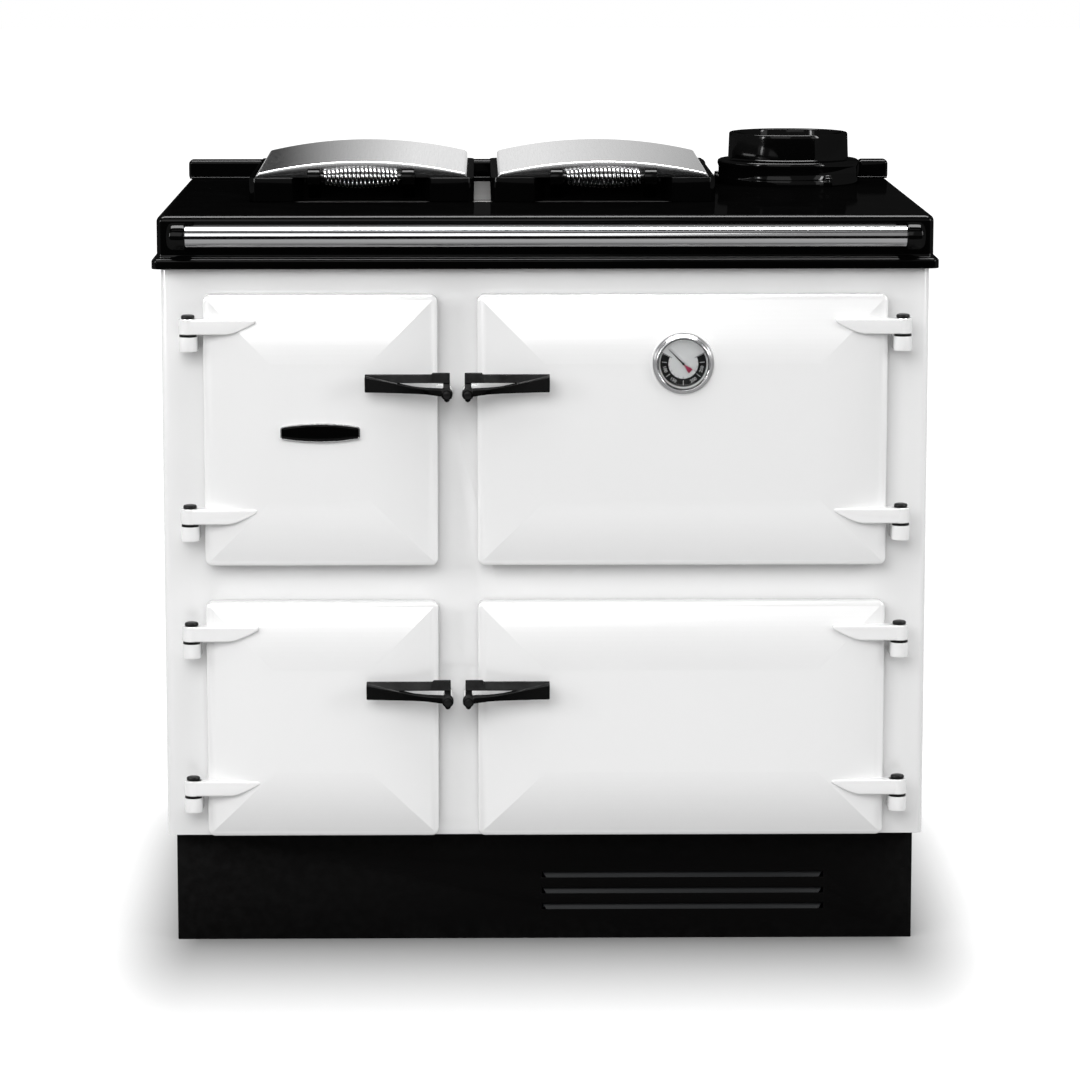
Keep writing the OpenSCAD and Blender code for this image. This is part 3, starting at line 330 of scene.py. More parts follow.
def done(piece, body, slot, finish, replaced, angle=CREASE):
    """Shades a finished piece, gives it its material and body, and hides the node it stands for."""
    choose(piece)
    bpy.ops.object.shade_smooth_by_angle(angle=math.radians(angle))
    piece.data.materials.clear()
    piece.data.materials.append(FINISHES[finish])
    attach(piece, body)
    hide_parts(replaced)


# ---------- Finishes ----------

FINISHES = {}
EFFECTS = {}


def node(tree, kind, inputs=None, **settings):
    made = tree.nodes.new(kind)
    for key, value in settings.items():
        setattr(made, key, value)
    for key, value in (inputs or {}).items():
        if isinstance(value, bpy.types.NodeSocket):
            tree.links.new(value, made.inputs[key])
        else:
            made.inputs[key].default_value = value
    return made


def maths(tree, operation, *values, **settings):
    return node(tree, "ShaderNodeMath", dict(enumerate(values)), operation=operation, **settings).outputs[0]


def noise(tree, place, scale, detail, roughness):
    return node(tree, "ShaderNodeTexNoise", {
        "Vector": place, "Scale": scale, "Detail": detail, "Roughness": roughness}).outputs["Fac"]


def object_coordinates(tree):
    return node(tree, "ShaderNodeTexCoord").outputs["Object"]


def geometry(tree, output):
    return node(tree, "ShaderNodeNewGeometry").outputs[output]


def spread(tree, source, low, high, start=0.3, end=0.7):
    """Maps a value from one range to another, and holds it there."""
    return node(tree, "ShaderNodeMapRange", {
        "Value": source, "From Min": start, "From Max": end, "To Min": low, "To Max": high,
    }).outputs["Result"]


def clouding(group, given):
    """Soft patches of more and less."""
    cloud = noise(group, object_coordinates(group), given["Scale"], given["Detail"], 0.6)
    return {"Value": spread(group, cloud, given["Low"], given["High"])}


def enamel_peel(group, given):
    """Long ripples with fine pits, as fired enamel has."""
    place = object_coordinates(group)
    ripples = noise(group, place, given["Scale"], 2.0, 0.4)
    pits = noise(group, place, given["Pit Scale"], 3.0, 0.5)
    return {"Height": maths(group, "MULTIPLY_ADD", pits, 0.12, ripples)}


def brushed_grain(group, given):
    """Fine scratches in one direction: the stretch squeezes the noise across it."""
    stretched = node(group, "ShaderNodeMapping", {
        "Vector": object_coordinates(group), "Scale": given["Stretch"]}).outputs[0]
    scratches = noise(group, stretched, 1.0, 4.0, 0.7)
    return {"Value": spread(group, scratches, given["Low"], given["High"]), "Height": scratches}


def casting_grit(group, given):
    """Sand-cast grain: small lumps under a coarser unevenness."""
    place = object_coordinates(group)
    lumps = node(group, "ShaderNodeTexVoronoi", {
        "Vector": place, "Scale": given["Scale"]}, feature="SMOOTH_F1")
    uneven = noise(group, place, 60.0, 6.0, 0.65)
    return {"Value": spread(group, uneven, given["Low"], given["High"]),
            "Height": maths(group, "MULTIPLY_ADD", lumps.outputs["Distance"], 0.5, uneven)}


def edge_wear(group, given):
    """Mask along raised edges, broken up by noise."""
    edge = spread(group, geometry(group, "Pointiness"), 0.0, 1.0, 0.52, 0.6)
    patches = noise(group, object_coordinates(group), 90.0, 4.0, 0.6)
    mask = maths(group, "MULTIPLY", edge, spread(group, patches, 0.2, 1.0, 0.35, 0.65))
    return {"Mask": maths(group, "MULTIPLY", mask, given["Amount"], use_clamp=True)}


def dust_and_painted_top_light(group, given):
    """Mask on faces that look up, in soft patches: dust on the black enamel, painted light on the levers.
    """
    facing = node(group, "ShaderNodeSeparateXYZ", {"Vector": geometry(group, "Normal")})
    up = spread(group, facing.outputs["Z"], 0.0, 1.0, given["Least Slope"], 1.0)
    patches = noise(group, object_coordinates(group), 22.0, 8.0, 0.7)
    mask = maths(group, "MULTIPLY", up, spread(group, patches, 0.3, 1.0, 0.35, 0.7))
    return {"Mask": maths(group, "MULTIPLY", mask, given["Amount"], use_clamp=True)}


def braid(group, given):
    """Crossed strands of a braided rope."""
    place = object_coordinates(group)
    waves = []
    for turn in (0.8, -0.8):
        leaning = node(group, "ShaderNodeMapping", {"Vector": place, "Rotation": (turn, turn, turn)})
        wave = node(group, "ShaderNodeTexWave", {
            "Vector": leaning.outputs[0], "Scale": given["Scale"], "Distortion": 1.5, "Detail": 2.0})
        waves.append(wave.outputs["Fac"])
    crossed = maths(group, "MAXIMUM", *waves)
    return {"Value": spread(group, crossed, 0.5, 1.0, 0.2, 1.0), "Height": crossed}


def make_effect(name, build, inputs):
    """A shared effect: a node group with named inputs and outputs."""
    group = bpy.data.node_groups.new(name, "ShaderNodeTree")
    for label, value in inputs.items():
        kind = "NodeSocketVector" if isinstance(value, tuple) else "NodeSocketFloat"
        socket = group.interface.new_socket(name=label, in_out="INPUT", socket_type=kind)
        socket.default_value = value
    results = build(group, group.nodes.new("NodeGroupInput").outputs)
    for label in results:
        group.interface.new_socket(name=label, in_out="OUTPUT", socket_type="NodeSocketFloat")
    node(group, "NodeGroupOutput", results)
    EFFECTS[name] = group


def make_effects():
    make_effect("Clouding", clouding, {"Scale": 8.0, "Detail": 5.0, "Low": 0.2, "High": 0.3})
    make_effect("Enamel Peel", enamel_peel, {"Scale": 40.0, "Pit Scale": 900.0})
    make_effect("Brushed Grain", brushed_grain, {"Stretch": (900, 12, 900), "Low": 0.25, "High": 0.4})
    make_effect("Casting Grit", casting_grit, {"Scale": 700.0, "Low": 0.5, "High": 0.8})
    make_effect("Edge Wear", edge_wear, {"Amount": 1.0})
    make_effect("Dust And Painted Top Light", dust_and_painted_top_light, {"Amount": 0.2, "Least Slope": 0.5})
    make_effect("Braid", braid, {"Scale": 90.0})


def socket_values(settings):
    """The shader's names for settings written as keywords."""
    return {key.replace("_", " ").title().replace("Ior", "IOR"): value for key, value in settings.items()}


class Finish:
    """A material under construction: the shader with its constant values, and the effects that feed it."""

    def __init__(self, name, colour, **constants):
        material = FINISHES[name] = bpy.data.materials.new(name)
        material.use_nodes = True
        self.tree = material.node_tree
        self.shader = self.tree.nodes["Principled BSDF"]
        self.colour = colour
        self.shader.inputs["Base Color"].default_value = (*colour, 1)
        for socket, value in socket_values(constants).items():
            self.shader.inputs[socket].default_value = value

    def feed(self, source, socket):
        self.tree.links.new(source, self.shader.inputs[socket])

    def give(self, effect, rough=False, tint=None, bump=None, **values):
        """Places an effect that varies the roughness, mixes in a second colour, or raises a bump."""
        made = node(self.tree, "ShaderNodeGroup", socket_values(values), node_tree=EFFECTS[effect])
        if rough:
            self.feed(made.outputs["Value"], "Roughness")
        if tint:
            mixed = node(self.tree, "ShaderNodeMix", {
                0: made.outputs[0], 6: (*self.colour, 1), 7: (*tint, 1)}, data_type="RGBA")
            self.feed(mixed.outputs[2], "Base Color")
        if bump:
            raised = node(self.tree, "ShaderNodeBump", {
                "Height": made.outputs["Height"], "Distance": bump, "Strength": 1.0})
            self.feed(raised.outputs["Normal"], "Normal")


def make_painted_finishes():
    pale, black = tuple(colours().pale_enamel), tuple(colours().black_enamel)
    # black enamel shines by its coat alone, which mirrors the same from every side
    shine = {"specular_ior_level": 0.0, "coat_ior": 4.0, "coat_roughness": 0.06}

    f = Finish("pale enamel", pale, coat_weight=0.6, coat_roughness=0.16)
    f.give("Clouding", scale=5.0, detail=1.0, low=0.2, high=0.26, rough=True)
    f.give("Clouding", scale=2.5, detail=1.0, low=0.0, high=0.5, tint=tuple(c * 0.99 for c in pale))
    f.give("Enamel Peel", scale=26.0, pit_scale=700.0, bump=0.00012)

    f = Finish("black enamel", black, coat_weight=0.013, **shine)
    f.give("Clouding", scale=9.0, low=0.14, high=0.3, rough=True)
    f.give("Dust And Painted Top Light", amount=0.12, tint=(0.012, 0.012, 0.012))
    f.give("Enamel Peel", scale=34.0, pit_scale=800.0, bump=0.00008)

    f = Finish("lever iron", black, coat_weight=0.014, **shine)
    f.give("Casting Grit", scale=500.0, low=0.3, high=0.45, rough=True, bump=0.00004)
    # painted light: on the levers this lightens every face that looks up even a little, in soft patches, to
    # stand in for the light falling on their tops
    f.give("Dust And Painted Top Light", amount=1.0, least_slope=-0.1, tint=(0.045, 0.045, 0.045))

    f = Finish("plinth paint", tuple(colours().plinth_paint), specular_ior_level=0.03)
    f.give("Clouding", scale=7.0, low=0.5, high=0.56, rough=True)
    f.give("Edge Wear", amount=0.3, tint=(0.03, 0.03, 0.03))
    f.give("Enamel Peel", scale=120.0, pit_scale=1600.0, bump=0.00002)

    # painted light: the louvres are pressed from the plinth's own paint, here given a colour ten times
    # lighter to stand in for the light their sloped lips catch
    f = Finish("lit louvre paint", (0.016, 0.017, 0.018), specular_ior_level=0.1)
    f.give("Clouding", scale=9.0, low=0.4, high=0.5, rough=True)

    f = Finish("hinge black", (0.004, 0.004, 0.004), specular_ior_level=0.12)
    f.give("Clouding", scale=60.0, low=0.25, high=0.4, rough=True)
    f.give("Enamel Peel", scale=200.0, pit_scale=2000.0, bump=0.00003)

    f = Finish("oven enamel", (0.03, 0.031, 0.035), coat_weight=0.3, coat_roughness=0.15)
    f.give("Clouding", scale=16.0, low=0.25, high=0.45, rough=True)
    f.give("Casting Grit", scale=900.0, low=-0.6, high=0.7, tint=(0.16, 0.165, 0.18))
    f.give("Enamel Peel", scale=60.0, pit_scale=900.0, bump=0.0001)


def make_metal_finishes():
    for name, colour, scale, low, high in (
            ("bezel chrome", (0.3, 0.3, 0.305), 60.0, 0.17, 0.25),
            ("coil steel", (0.17, 0.17, 0.172), 60.0, 0.04, 0.1),
            ("badge metal", (0.3, 0.3, 0.3), 90.0, 0.2, 0.3)):
        f = Finish(name, colour, metallic=1.0)
        f.give("Clouding", scale=scale, low=low, high=high, rough=True)

    f = Finish("rail chrome", (0.27, 0.27, 0.273), metallic=1.0)
    f.give("Brushed Grain", stretch=(14, 1400, 1400), low=0.07, high=0.13, rough=True, bump=0.000012)
    # part polishing marks, part painted reflection: these streaks along the tube darken bands round it that
    # stand in for dark things the chrome would mirror
    f.give("Brushed Grain", stretch=(0.5, 170, 170), low=0.0, high=1.0, tint=(0.16, 0.16, 0.162))

    f = Finish("brushed dome", (0.3, 0.3, 0.302), metallic=1.0, specular_tint=(0.8, 0.8, 0.8, 1))
    f.give("Brushed Grain", stretch=(700, 10, 700), low=0.13, high=0.19, rough=True, bump=0.000004)
    f.give("Clouding", scale=6.0, low=0.0, high=0.5, tint=(0.27, 0.27, 0.272))

    f = Finish("bare steel", (0.42, 0.42, 0.425), metallic=1.0)
    f.give("Brushed Grain", stretch=(500, 500, 40), low=0.25, high=0.45, rough=True, bump=0.00002)
    f.give("Clouding", scale=40.0, low=0.0, high=0.7, tint=(0.3, 0.29, 0.28))

    f = Finish("liner steel", (0.22, 0.22, 0.223), metallic=1.0)
    f.give("Brushed Grain", stretch=(20, 500, 500), low=0.28, high=0.48, rough=True, bump=0.00003)
    f.give("Clouding", scale=10.0, low=0.0, high=0.6, tint=(0.17, 0.16, 0.145))

    f = Finish("shelf wire", (0.6, 0.6, 0.6), metallic=1.0)
    f.give("Clouding", scale=80.0, low=0.15, high=0.35, rough=True)
    f.give("Clouding", scale=25.0, low=0.0, high=0.6, tint=(0.38, 0.33, 0.28))

    f = Finish("zinc sheet", (0.44, 0.45, 0.46), metallic=0.9)
    f.give("Clouding", scale=45.0, low=0.32, high=0.55, rough=True)
    f.give("Clouding", scale=70.0, low=0.0, high=0.7, tint=(0.5, 0.51, 0.52))
    f.give("Enamel Peel", scale=80.0, pit_scale=500.0, bump=0.00005)

    f = Finish("ground iron", (0.1, 0.1, 0.1), metallic=0.85, specular_tint=(0.1, 0.1, 0.1, 1))
    f.give("Brushed Grain", stretch=(30, 900, 900), low=0.3, high=0.5, rough=True, bump=0.00003)
    f.give("Clouding", scale=18.0, low=0.0, high=0.9, tint=(0.075, 0.072, 0.07))

    f = Finish("fired iron", (0.055, 0.05, 0.047), metallic=0.3)
    f.give("Casting Grit", scale=420.0, low=0.6, high=0.9, rough=True, bump=0.0004)
    f.give("Clouding", scale=12.0, low=0.0, high=0.8, tint=(0.13, 0.09, 0.065))


def make_other_finishes():
    f = Finish("braided rope", (0.34, 0.33, 0.31), roughness=0.95)
    f.give("Braid", scale=70.0, tint=(0.5, 0.49, 0.46), bump=0.0008)

    f = Finish("mineral wool", (0.48, 0.42, 0.28), roughness=1.0)
    f.give("Casting Grit", scale=160.0, bump=0.004)
    f.give("Clouding", scale=50.0, low=0.0, high=1.0, tint=(0.62, 0.56, 0.4))

    f = Finish("dial face", (0.62, 0.63, 0.63))
    f.give("Clouding", scale=90.0, low=0.35, high=0.5, rough=True)
    f.give("Clouding", scale=50.0, low=0.0, high=0.6, tint=(0.56, 0.57, 0.575))

    f = Finish("dial black", (0.006, 0.006, 0.0065), specular_ior_level=0.15)
    f.give("Clouding", scale=150.0, low=0.35, high=0.5, rough=True)

    f = Finish("arrow red", tuple(colours().arrow))
    f.give("Clouding", scale=150.0, low=0.3, high=0.45, rough=True)

    f = Finish("gauge glass", (1, 1, 1), roughness=0.02, ior=1.45, transmission_weight=1.0, metallic=0.0)
    f.give("Enamel Peel", scale=120.0, pit_scale=600.0, bump=0.000004)


# ---------- Doors ----------

FACE_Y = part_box("front_plate")[0].y
Door = namedtuple("Door", "left foot width height side")  # side is -1 for hinges on the left
DOORS = {
    "fire_door": Door(-0.430, 0.499, 0.294, 0.343, -1),
    "main_oven_door": Door(-0.086, 0.499, 0.516, 0.343, 1),
    "burner_door": Door(-0.430, 0.150, 0.294, 0.302, -1),
    "lower_oven_door": Door(-0.086, 0.150, 0.516, 0.302, 1),
}
DOOR_BACK, DOOR_EDGE, DOOR_CROWN, DOOR_BEVEL = 3 * MM, 24 * MM, 42 * MM, 85 * MM
DOOR_CORNER, DOOR_CREASE = 9 * MM, math.radians(2)  # the crease is where the bevel meets the flat middle
PIN_OFFSET, PIN_OUT, KNUCKLE_R = 18 * MM, 31 * MM, 11.5 * MM
HINGE_RISE, HINGE_DROP, ARM_H, ARM_L = 53 * MM, 50 * MM, 20 * MM, 85 * MM
ARM_RISE, ARM_SWEEP = 15 * MM, 10 * MM  # how far the arm's tip thins from below and comes out
WASHER_LIFT = 1.9 * MM  # half a washer with its play
LATCH_REACH, LATCH_DROP, GAUGE_DROP = 12 * MM, 120 * MM, 85 * MM
OUTWARD = (90, 0, 0)  # turns a lathe shape made upwards so that it points out of the front


def out(distance):
    """Y of a place that far out from the front plate."""
    return FACE_Y - distance


def bevel_height(t):
    """Rise of the bevel at a distance in from the door's edge."""
    rise = DOOR_CROWN - DOOR_EDGE
    radius = math.hypot(DOOR_BEVEL, rise) / (2 * math.sin(math.atan(rise / DOOR_BEVEL) - DOOR_CREASE))
    centre_x = DOOR_BEVEL + radius * math.sin(DOOR_CREASE)
    centre_z = DOOR_CROWN - radius * math.cos(DOOR_CREASE)
    return centre_z + math.sqrt(radius ** 2 - (centre_x - t) ** 2)


def hinge_heights(door):
    d = DOORS[door]
    return d.foot + HINGE_RISE, d.foot + d.height - HINGE_DROP


def pin_x(door):
    d = DOORS[door]
    return d.left - PIN_OFFSET if d.side < 0 else d.left + d.width + PIN_OFFSET


def latch_place(door):
    """Where the latch spindle's axis meets the front plate, beyond the door's free edge."""
    d = DOORS[door]
    free_x = d.left + d.width if d.side < 0 else d.left
    return free_x - d.side * LATCH_REACH, FACE_Y, d.foot + d.height - LATCH_DROP


def hinge_arm(door, height):
    """Knuckle and wedge of one hinge arm: the lower edge rises towards the tip."""
    foot = height + WASHER_LIFT
    top = foot + ARM_H - 0.8 * MM
    steps, straight = 12, 0.58
    arm = block("arm", (0, out(DOOR_CROWN), foot), (ARM_L, out(PIN_OUT - KNUCKLE_R), top))
    cut_across(arm, ARM_L / 2, steps)
    with Shaping(arm, "VERT") as shape:
        for i in range(steps + 1):
            t = i / steps
            rise = ARM_RISE * (max(0.0, t - straight) / (1 - straight)) ** 1.4
            shape.slide(lambda v: near(v.co.x, t * ARM_L) and v.co.z < foot + SAME, (0, 0, rise))
            shape.slide(lambda v: near(v.co.x, t * ARM_L) and v.co.y > out(PIN_OUT), (0, -t * ARM_SWEEP, 0))
    round_edges(arm, 2.2 * MM, 4)
    chamfer = 0.8 * MM
    knuckle = turned("knuckle", [
        (KNUCKLE_R - chamfer, foot), (KNUCKLE_R, foot + chamfer),
        (KNUCKLE_R, top - chamfer), (KNUCKLE_R - chamfer, top)])
    placed(knuckle, (0, out(PIN_OUT), 0))
    return placed(joined("arm", [arm, knuckle]), (pin_x(door), 0, 0), flip=(-DOORS[door].side, 1, 1))


def latch_sleeve(door):
    """Sleeve that carries the latch spindle, with the lug that joins it to the door's edge."""
    radius, back, overlap = 6.6 * MM, 8.8 * MM, 4 * MM
    place = latch_place(door)
    sleeve = lathe("sleeve", [(5.6, 8.8), (6.6, 9.8), (6.6, 56), (5.8, 57.6)])
    placed(sleeve, place, OUTWARD)
    low_x, high_x = sorted((place[0], place[0] + DOORS[door].side * (LATCH_REACH + overlap)))
    lug = block("lug", (low_x, out(22 * MM), place[2] - radius), (high_x, out(back), place[2] + radius))
    round_edges(lug, 1.5 * MM, 3)
    return [sleeve, lug]


def door_shell(door):
    """The door's slab, its front raised to the flat middle by ring after ring."""
    x, z, w, h, _ = DOORS[door]
    piece = block("slab", (x, out(DOOR_EDGE), z), (x + w, out(DOOR_BACK), z + h))
    rings = sizes().bevel_rings
    with Shaping(piece) as shape:
        shape.pick(faces_front)
        for i in range(rings):
            start, end = (DOOR_BEVEL * (k / rings) for k in (i, i + 1))
            bpy.ops.mesh.inset(thickness=end - start, depth=bevel_height(end) - bevel_height(start),
                               use_even_offset=True)
        # the back has a recess inside its rim
        shape.pick(lambda f: f.normal.y > 0.9)
        bpy.ops.mesh.inset(thickness=12 * MM, depth=0)
        bpy.ops.mesh.inset(thickness=0.4 * MM, depth=-2.6 * MM)

    def corner(e):
        return any(all(math.hypot(v.co.x - cx, v.co.z - cz) < SAME for v in e.verts)
                   for cx in (x, x + w) for cz in (z, z + h))
    with Shaping(piece, "EDGE") as shape:
        shape.pick(corner)
        bpy.ops.mesh.bevel(offset=DOOR_CORNER, segments=6, affect="EDGES", clamp_overlap=False)
    round_edges(piece, 2.4 * MM, 4, 50)
    return piece


def gauge_place():
    """Where the thermometer's axis meets the front plate."""
    d = DOORS["main_oven_door"]
    return d.left + d.width / 2, FACE_Y, d.foot + d.height - GAUGE_DROP


def make_door(door):
    x, z, w, h, _ = DOORS[door]
    parts = [door_shell(door)]
    parts += [hinge_arm(door, height) for height in hinge_heights(door)]
    parts += latch_sleeve(door)
    if door == "main_oven_door":
        seat = lathe("seat", [(40.5, 34), (40.5, 40), (39.6, 43), (38.6, 43), (38.2, 34)], 64, ring=True)
        parts.append(placed(seat, gauge_place(), OUTWARD))
    piece = joined(door + "_casting", parts)
    done(piece, door, "pale_enamel", "pale enamel", door, angle=32)

    def mitre(e):
        """The edges that lie on the diagonals of the bevel."""
        a, b = e.verts[0].co, e.verts[1].co
        steps = [sorted((v.x - x, x + w - v.x, v.z - z, z + h - v.z))[:2] for v in (a, b)]
        return all(abs(p - q) < 0.2 * MM and p > 6 * MM for p, q in steps) and abs(a.x - b.x) > 1 * MM
    with Shaping(piece, "EDGE") as shape:
        shape.pick(mitre)
        bpy.ops.mesh.mark_sharp()


def lever_pattern():
    """One lever, its pivot at the origin, its free end towards +X, Y up and Z out of the door."""
    length, steps = 102.5, 12
    knob = turned("knob", [(7.2, 58), (7.2, 71.5), (6.4, 73.4), (4.6, 74)], 40)
    leg = block("leg", (-3.8, 0, 58), (4.5, 24, 66))
    top = block("top", (-3.8, 14.2, 58), (length, 24.2, 66))
    rise = block("rise", (-3.8, 14.2, 58), (22, 26.2, 66.5))
    for part, was_out, foot_out, head_out in (
            (leg, 66, 70, 64), (top, 66, 70, 62.5), (rise, 66.5, 70.3, 63.5)):
        with Shaping(part, "VERT") as shape:
            shape.slide(lambda v: v.co.z > 62 and v.co.y > 16, (0, 0, head_out - was_out))
            shape.slide(lambda v: v.co.z > 62 and v.co.y <= 16, (0, 0, foot_out - was_out))
    with Shaping(rise, "VERT") as shape:
        shape.slide(lambda v: v.co.x > 10 and v.co.y > 20, (-4, 0, 0))
    grip = block("grip", (0, 0, 58), (length, 10, 70))
    cut_across(grip, length / 2, steps)
    stations = [  # distance, foot, back top, crest, crest out, foot out
        (0, -4.2, 6.5, 4.5, 71, 66), (28, -0.5, 7.6, 6.6, 71.5, 65), (43, 0.2, 9.2, 9.0, 72, 65),
        (66, 1.2, 14.6, 14.0, 73, 66), (length, 2.2, 23, 21.5, 74, 67)]
    with Shaping(grip, "VERT") as shape:
        for i in range(steps + 1):
            x = length * i / steps
            a, b = next((p, q) for p, q in zip(stations, stations[1:]) if x <= q[0] + 1e-4)
            t = (x - a[0]) / (b[0] - a[0])
            foot, back, crest, crest_out, foot_out = (p + (q - p) * t for p, q in zip(a[1:], b[1:]))
            for was_y, was_z, y, z in ((0, 58, foot, 58), (0, 70, foot, foot_out),
                                       (10, 58, back, 58), (10, 70, crest, crest_out)):
                corner = Vector((x, was_y, was_z))
                shape.slide(lambda v: (v.co - corner).length < 0.01, (0, y - was_y, z - was_z))
    lever = joined("lever", [knob, leg, top, rise, grip])
    lever.scale = (MM, MM, MM)
    fix_place(lever)
    apply_modifier(lever, "REMESH", mode="VOXEL", voxel_size=0.75 * MM)
    apply_modifier(lever, "SMOOTH", factor=0.5, iterations=3)
    nut = lathe("nut", [(3.6, 60), (3.6, 69), (3.3, 69.8), (2.4, 70)], 24)
    placed(nut, (0, -6.2 * MM, 0))
    eye = lathe("eye", [(6.6, 72), (6.6, 74.2), (6.0, 75.2), (4.8, 75.4), (4.2, 74.4), (3.4, 74.2)], 40)
    return joined("lever", [lever, nut, eye])


def make_levers():
    pattern = lever_pattern()
    for door in DOORS:
        place = latch_place(door)
        lever = placed(twin(pattern, door + "_lever"), place, OUTWARD, flip=(DOORS[door].side, 1, 1))
        done(lever, door + "_latch", "black_enamel", "lever iron", door + "_handle")
        rod = lathe(door + "_latch_rod", [
            (3.4, 3.6), (6, 3.7), (6, 8.3), (3.5, 8.4), (3.5, 74), (4.6, 74.1), (4.8, 74.8),
            (3.6, 75.6)], 24)
        done(placed(rod, place, OUTWARD), door + "_latch", "bare_steel", "hinge black", door + "_spindle")
    bpy.data.objects.remove(pattern, do_unlink=True)


def make_hinges():
    washers, pins = [], []
    for door in DOORS:
        for height in hinge_heights(door):
            place = (pin_x(door), out(PIN_OUT), height)
            washer = lathe("washer", [(10.4, -1.5), (11, -1.1), (11, 1.1), (10.4, 1.5)], 40)
            pin = lathe("pin", [(4.6, -19.6), (5, -19.3), (5, 21.4), (8.2, 21.5), (8.6, 22.2), (8.6, 24.4),
                                (7.6, 25.8), (5.2, 26.5)], 40)
            washers.append(placed(washer, place))
            pins.append(placed(pin, place))
    done(joined("hinge_washers_turned", washers), "carcase", "black_paint", "hinge black", "hinge_washers")
    done(joined("hinge_pins_turned", pins), "carcase", "black_paint", "hinge black", "hinge_pins")
    done(softened("hinge_lugs", 2.2 * MM, 4), "carcase", "pale_enamel", "pale enamel", "hinge_lugs")


def barrel_plate(name, half_l, half_h, end_h, thick, corner):
    """A plate whose long edges bow out from its blunt ends, facing -Y."""
    steps = 20
    plate = block(name, (-half_l, 0, -half_h), (half_l, thick, half_h))
    cut_across(plate, half_l, steps)
    with Shaping(plate, "VERT") as shape:
        for i in range(steps + 1):
            t = 2 * i / steps - 1
            height = end_h + (half_h - end_h) * (1 - t * t)
            shape.squeeze(lambda v: near(v.co.x, t * half_l), (1, 1, height / half_h), (t * half_l, 0, 0))
    through = runs("Y", thick / 2)
    with Shaping(plate, "EDGE") as shape:
        shape.pick(lambda e: through(e) and abs(e.verts[0].co.x) > half_l - SAME)
        bpy.ops.mesh.bevel(offset=corner, segments=5, affect="EDGES")
    return plate


def make_badge():
    """Bare badge: a black field in a bright rim."""
    d = DOORS["fire_door"]
    for name, plate, rim, step, radius, rings, front, slot, finish in (
            ("badge_rim", (50, 12, 7.6, 4, 3.2), 1.3, -0.8, 0.5, 3, 4, "chrome", "badge metal"),
            ("badge_field", (48.2, 10.2, 6, 1, 2), 1.2, 0.25, 0.2, 2, 3.6, "black_enamel", "black enamel")):
        piece = barrel_plate(name, *mm(*plate))
        with Shaping(piece) as shape:
            shape.pick(faces_front)
            bpy.ops.mesh.inset(thickness=rim * MM, depth=0)
            bpy.ops.mesh.inset(thickness=0.3 * MM, depth=step * MM)
        round_edges(piece, radius * MM, rings)
        placed(piece, (d.left + d.width / 2, out(DOOR_CROWN + front * MM), d.foot + d.height / 2))
        done(piece, "fire_door", slot, finish, "badge_plate")


# ---------- Thermometer ----------

# Millimetres out from the front plate
GAUGE_TOP, BAND_FOOT, BAND_TOP, NUMBER_Z = 43, 43.01, 43.2, 43.26
BAND_START, BAND_END = 152, 28  # degrees: the black band runs round the foot of the dial
NEEDLE_LEAN = 135


def dial_mark(angle, start, end, half_w, foot, top):
    """One straight mark from one radius to another, turned to its angle."""
    mark = block("mark", mm(start, -half_w, foot), mm(end, half_w, top))
    return placed(mark, (0, 0, 0), turn=(0, 0, angle))


def dial_number(number, angle):
    deselect()
    bpy.ops.object.text_add(location=(0, 0, 0))
    label = bpy.context.object.data
    label.body, label.size = number, 5.6 * MM
    label.align_x, label.align_y = "CENTER", "CENTER"
    label.extrude, label.resolution_u = 0.05 * MM, 3
    bpy.ops.object.convert(target="MESH")
    piece = bpy.context.object
    outward(piece)
    lean, radius = math.radians(angle), 23.6 * MM
    place = (radius * math.cos(lean), radius * math.sin(lean), NUMBER_Z * MM)
    return placed(piece, place, turn=(0, 0, angle + 90))


def dial_band():
    """The black ring, open across the top of the dial."""
    band = lathe("band", [
        (28.6, BAND_FOOT), (28.6, BAND_TOP), (18.6, BAND_TOP), (18.6, BAND_FOOT)], 96, ring=True)

    def upper(f):
        c = f.calc_center_median()
        return BAND_END < math.degrees(math.atan2(c.y, c.x)) % 360 < BAND_START
    with Shaping(band) as shape:
        shape.pick(upper)
        bpy.ops.mesh.delete(type="FACE")
    with Shaping(band, "EDGE") as shape:
        shape.pick(lambda e: e.is_boundary)
        bpy.ops.mesh.edge_face_add()
    outward(band)
    return band


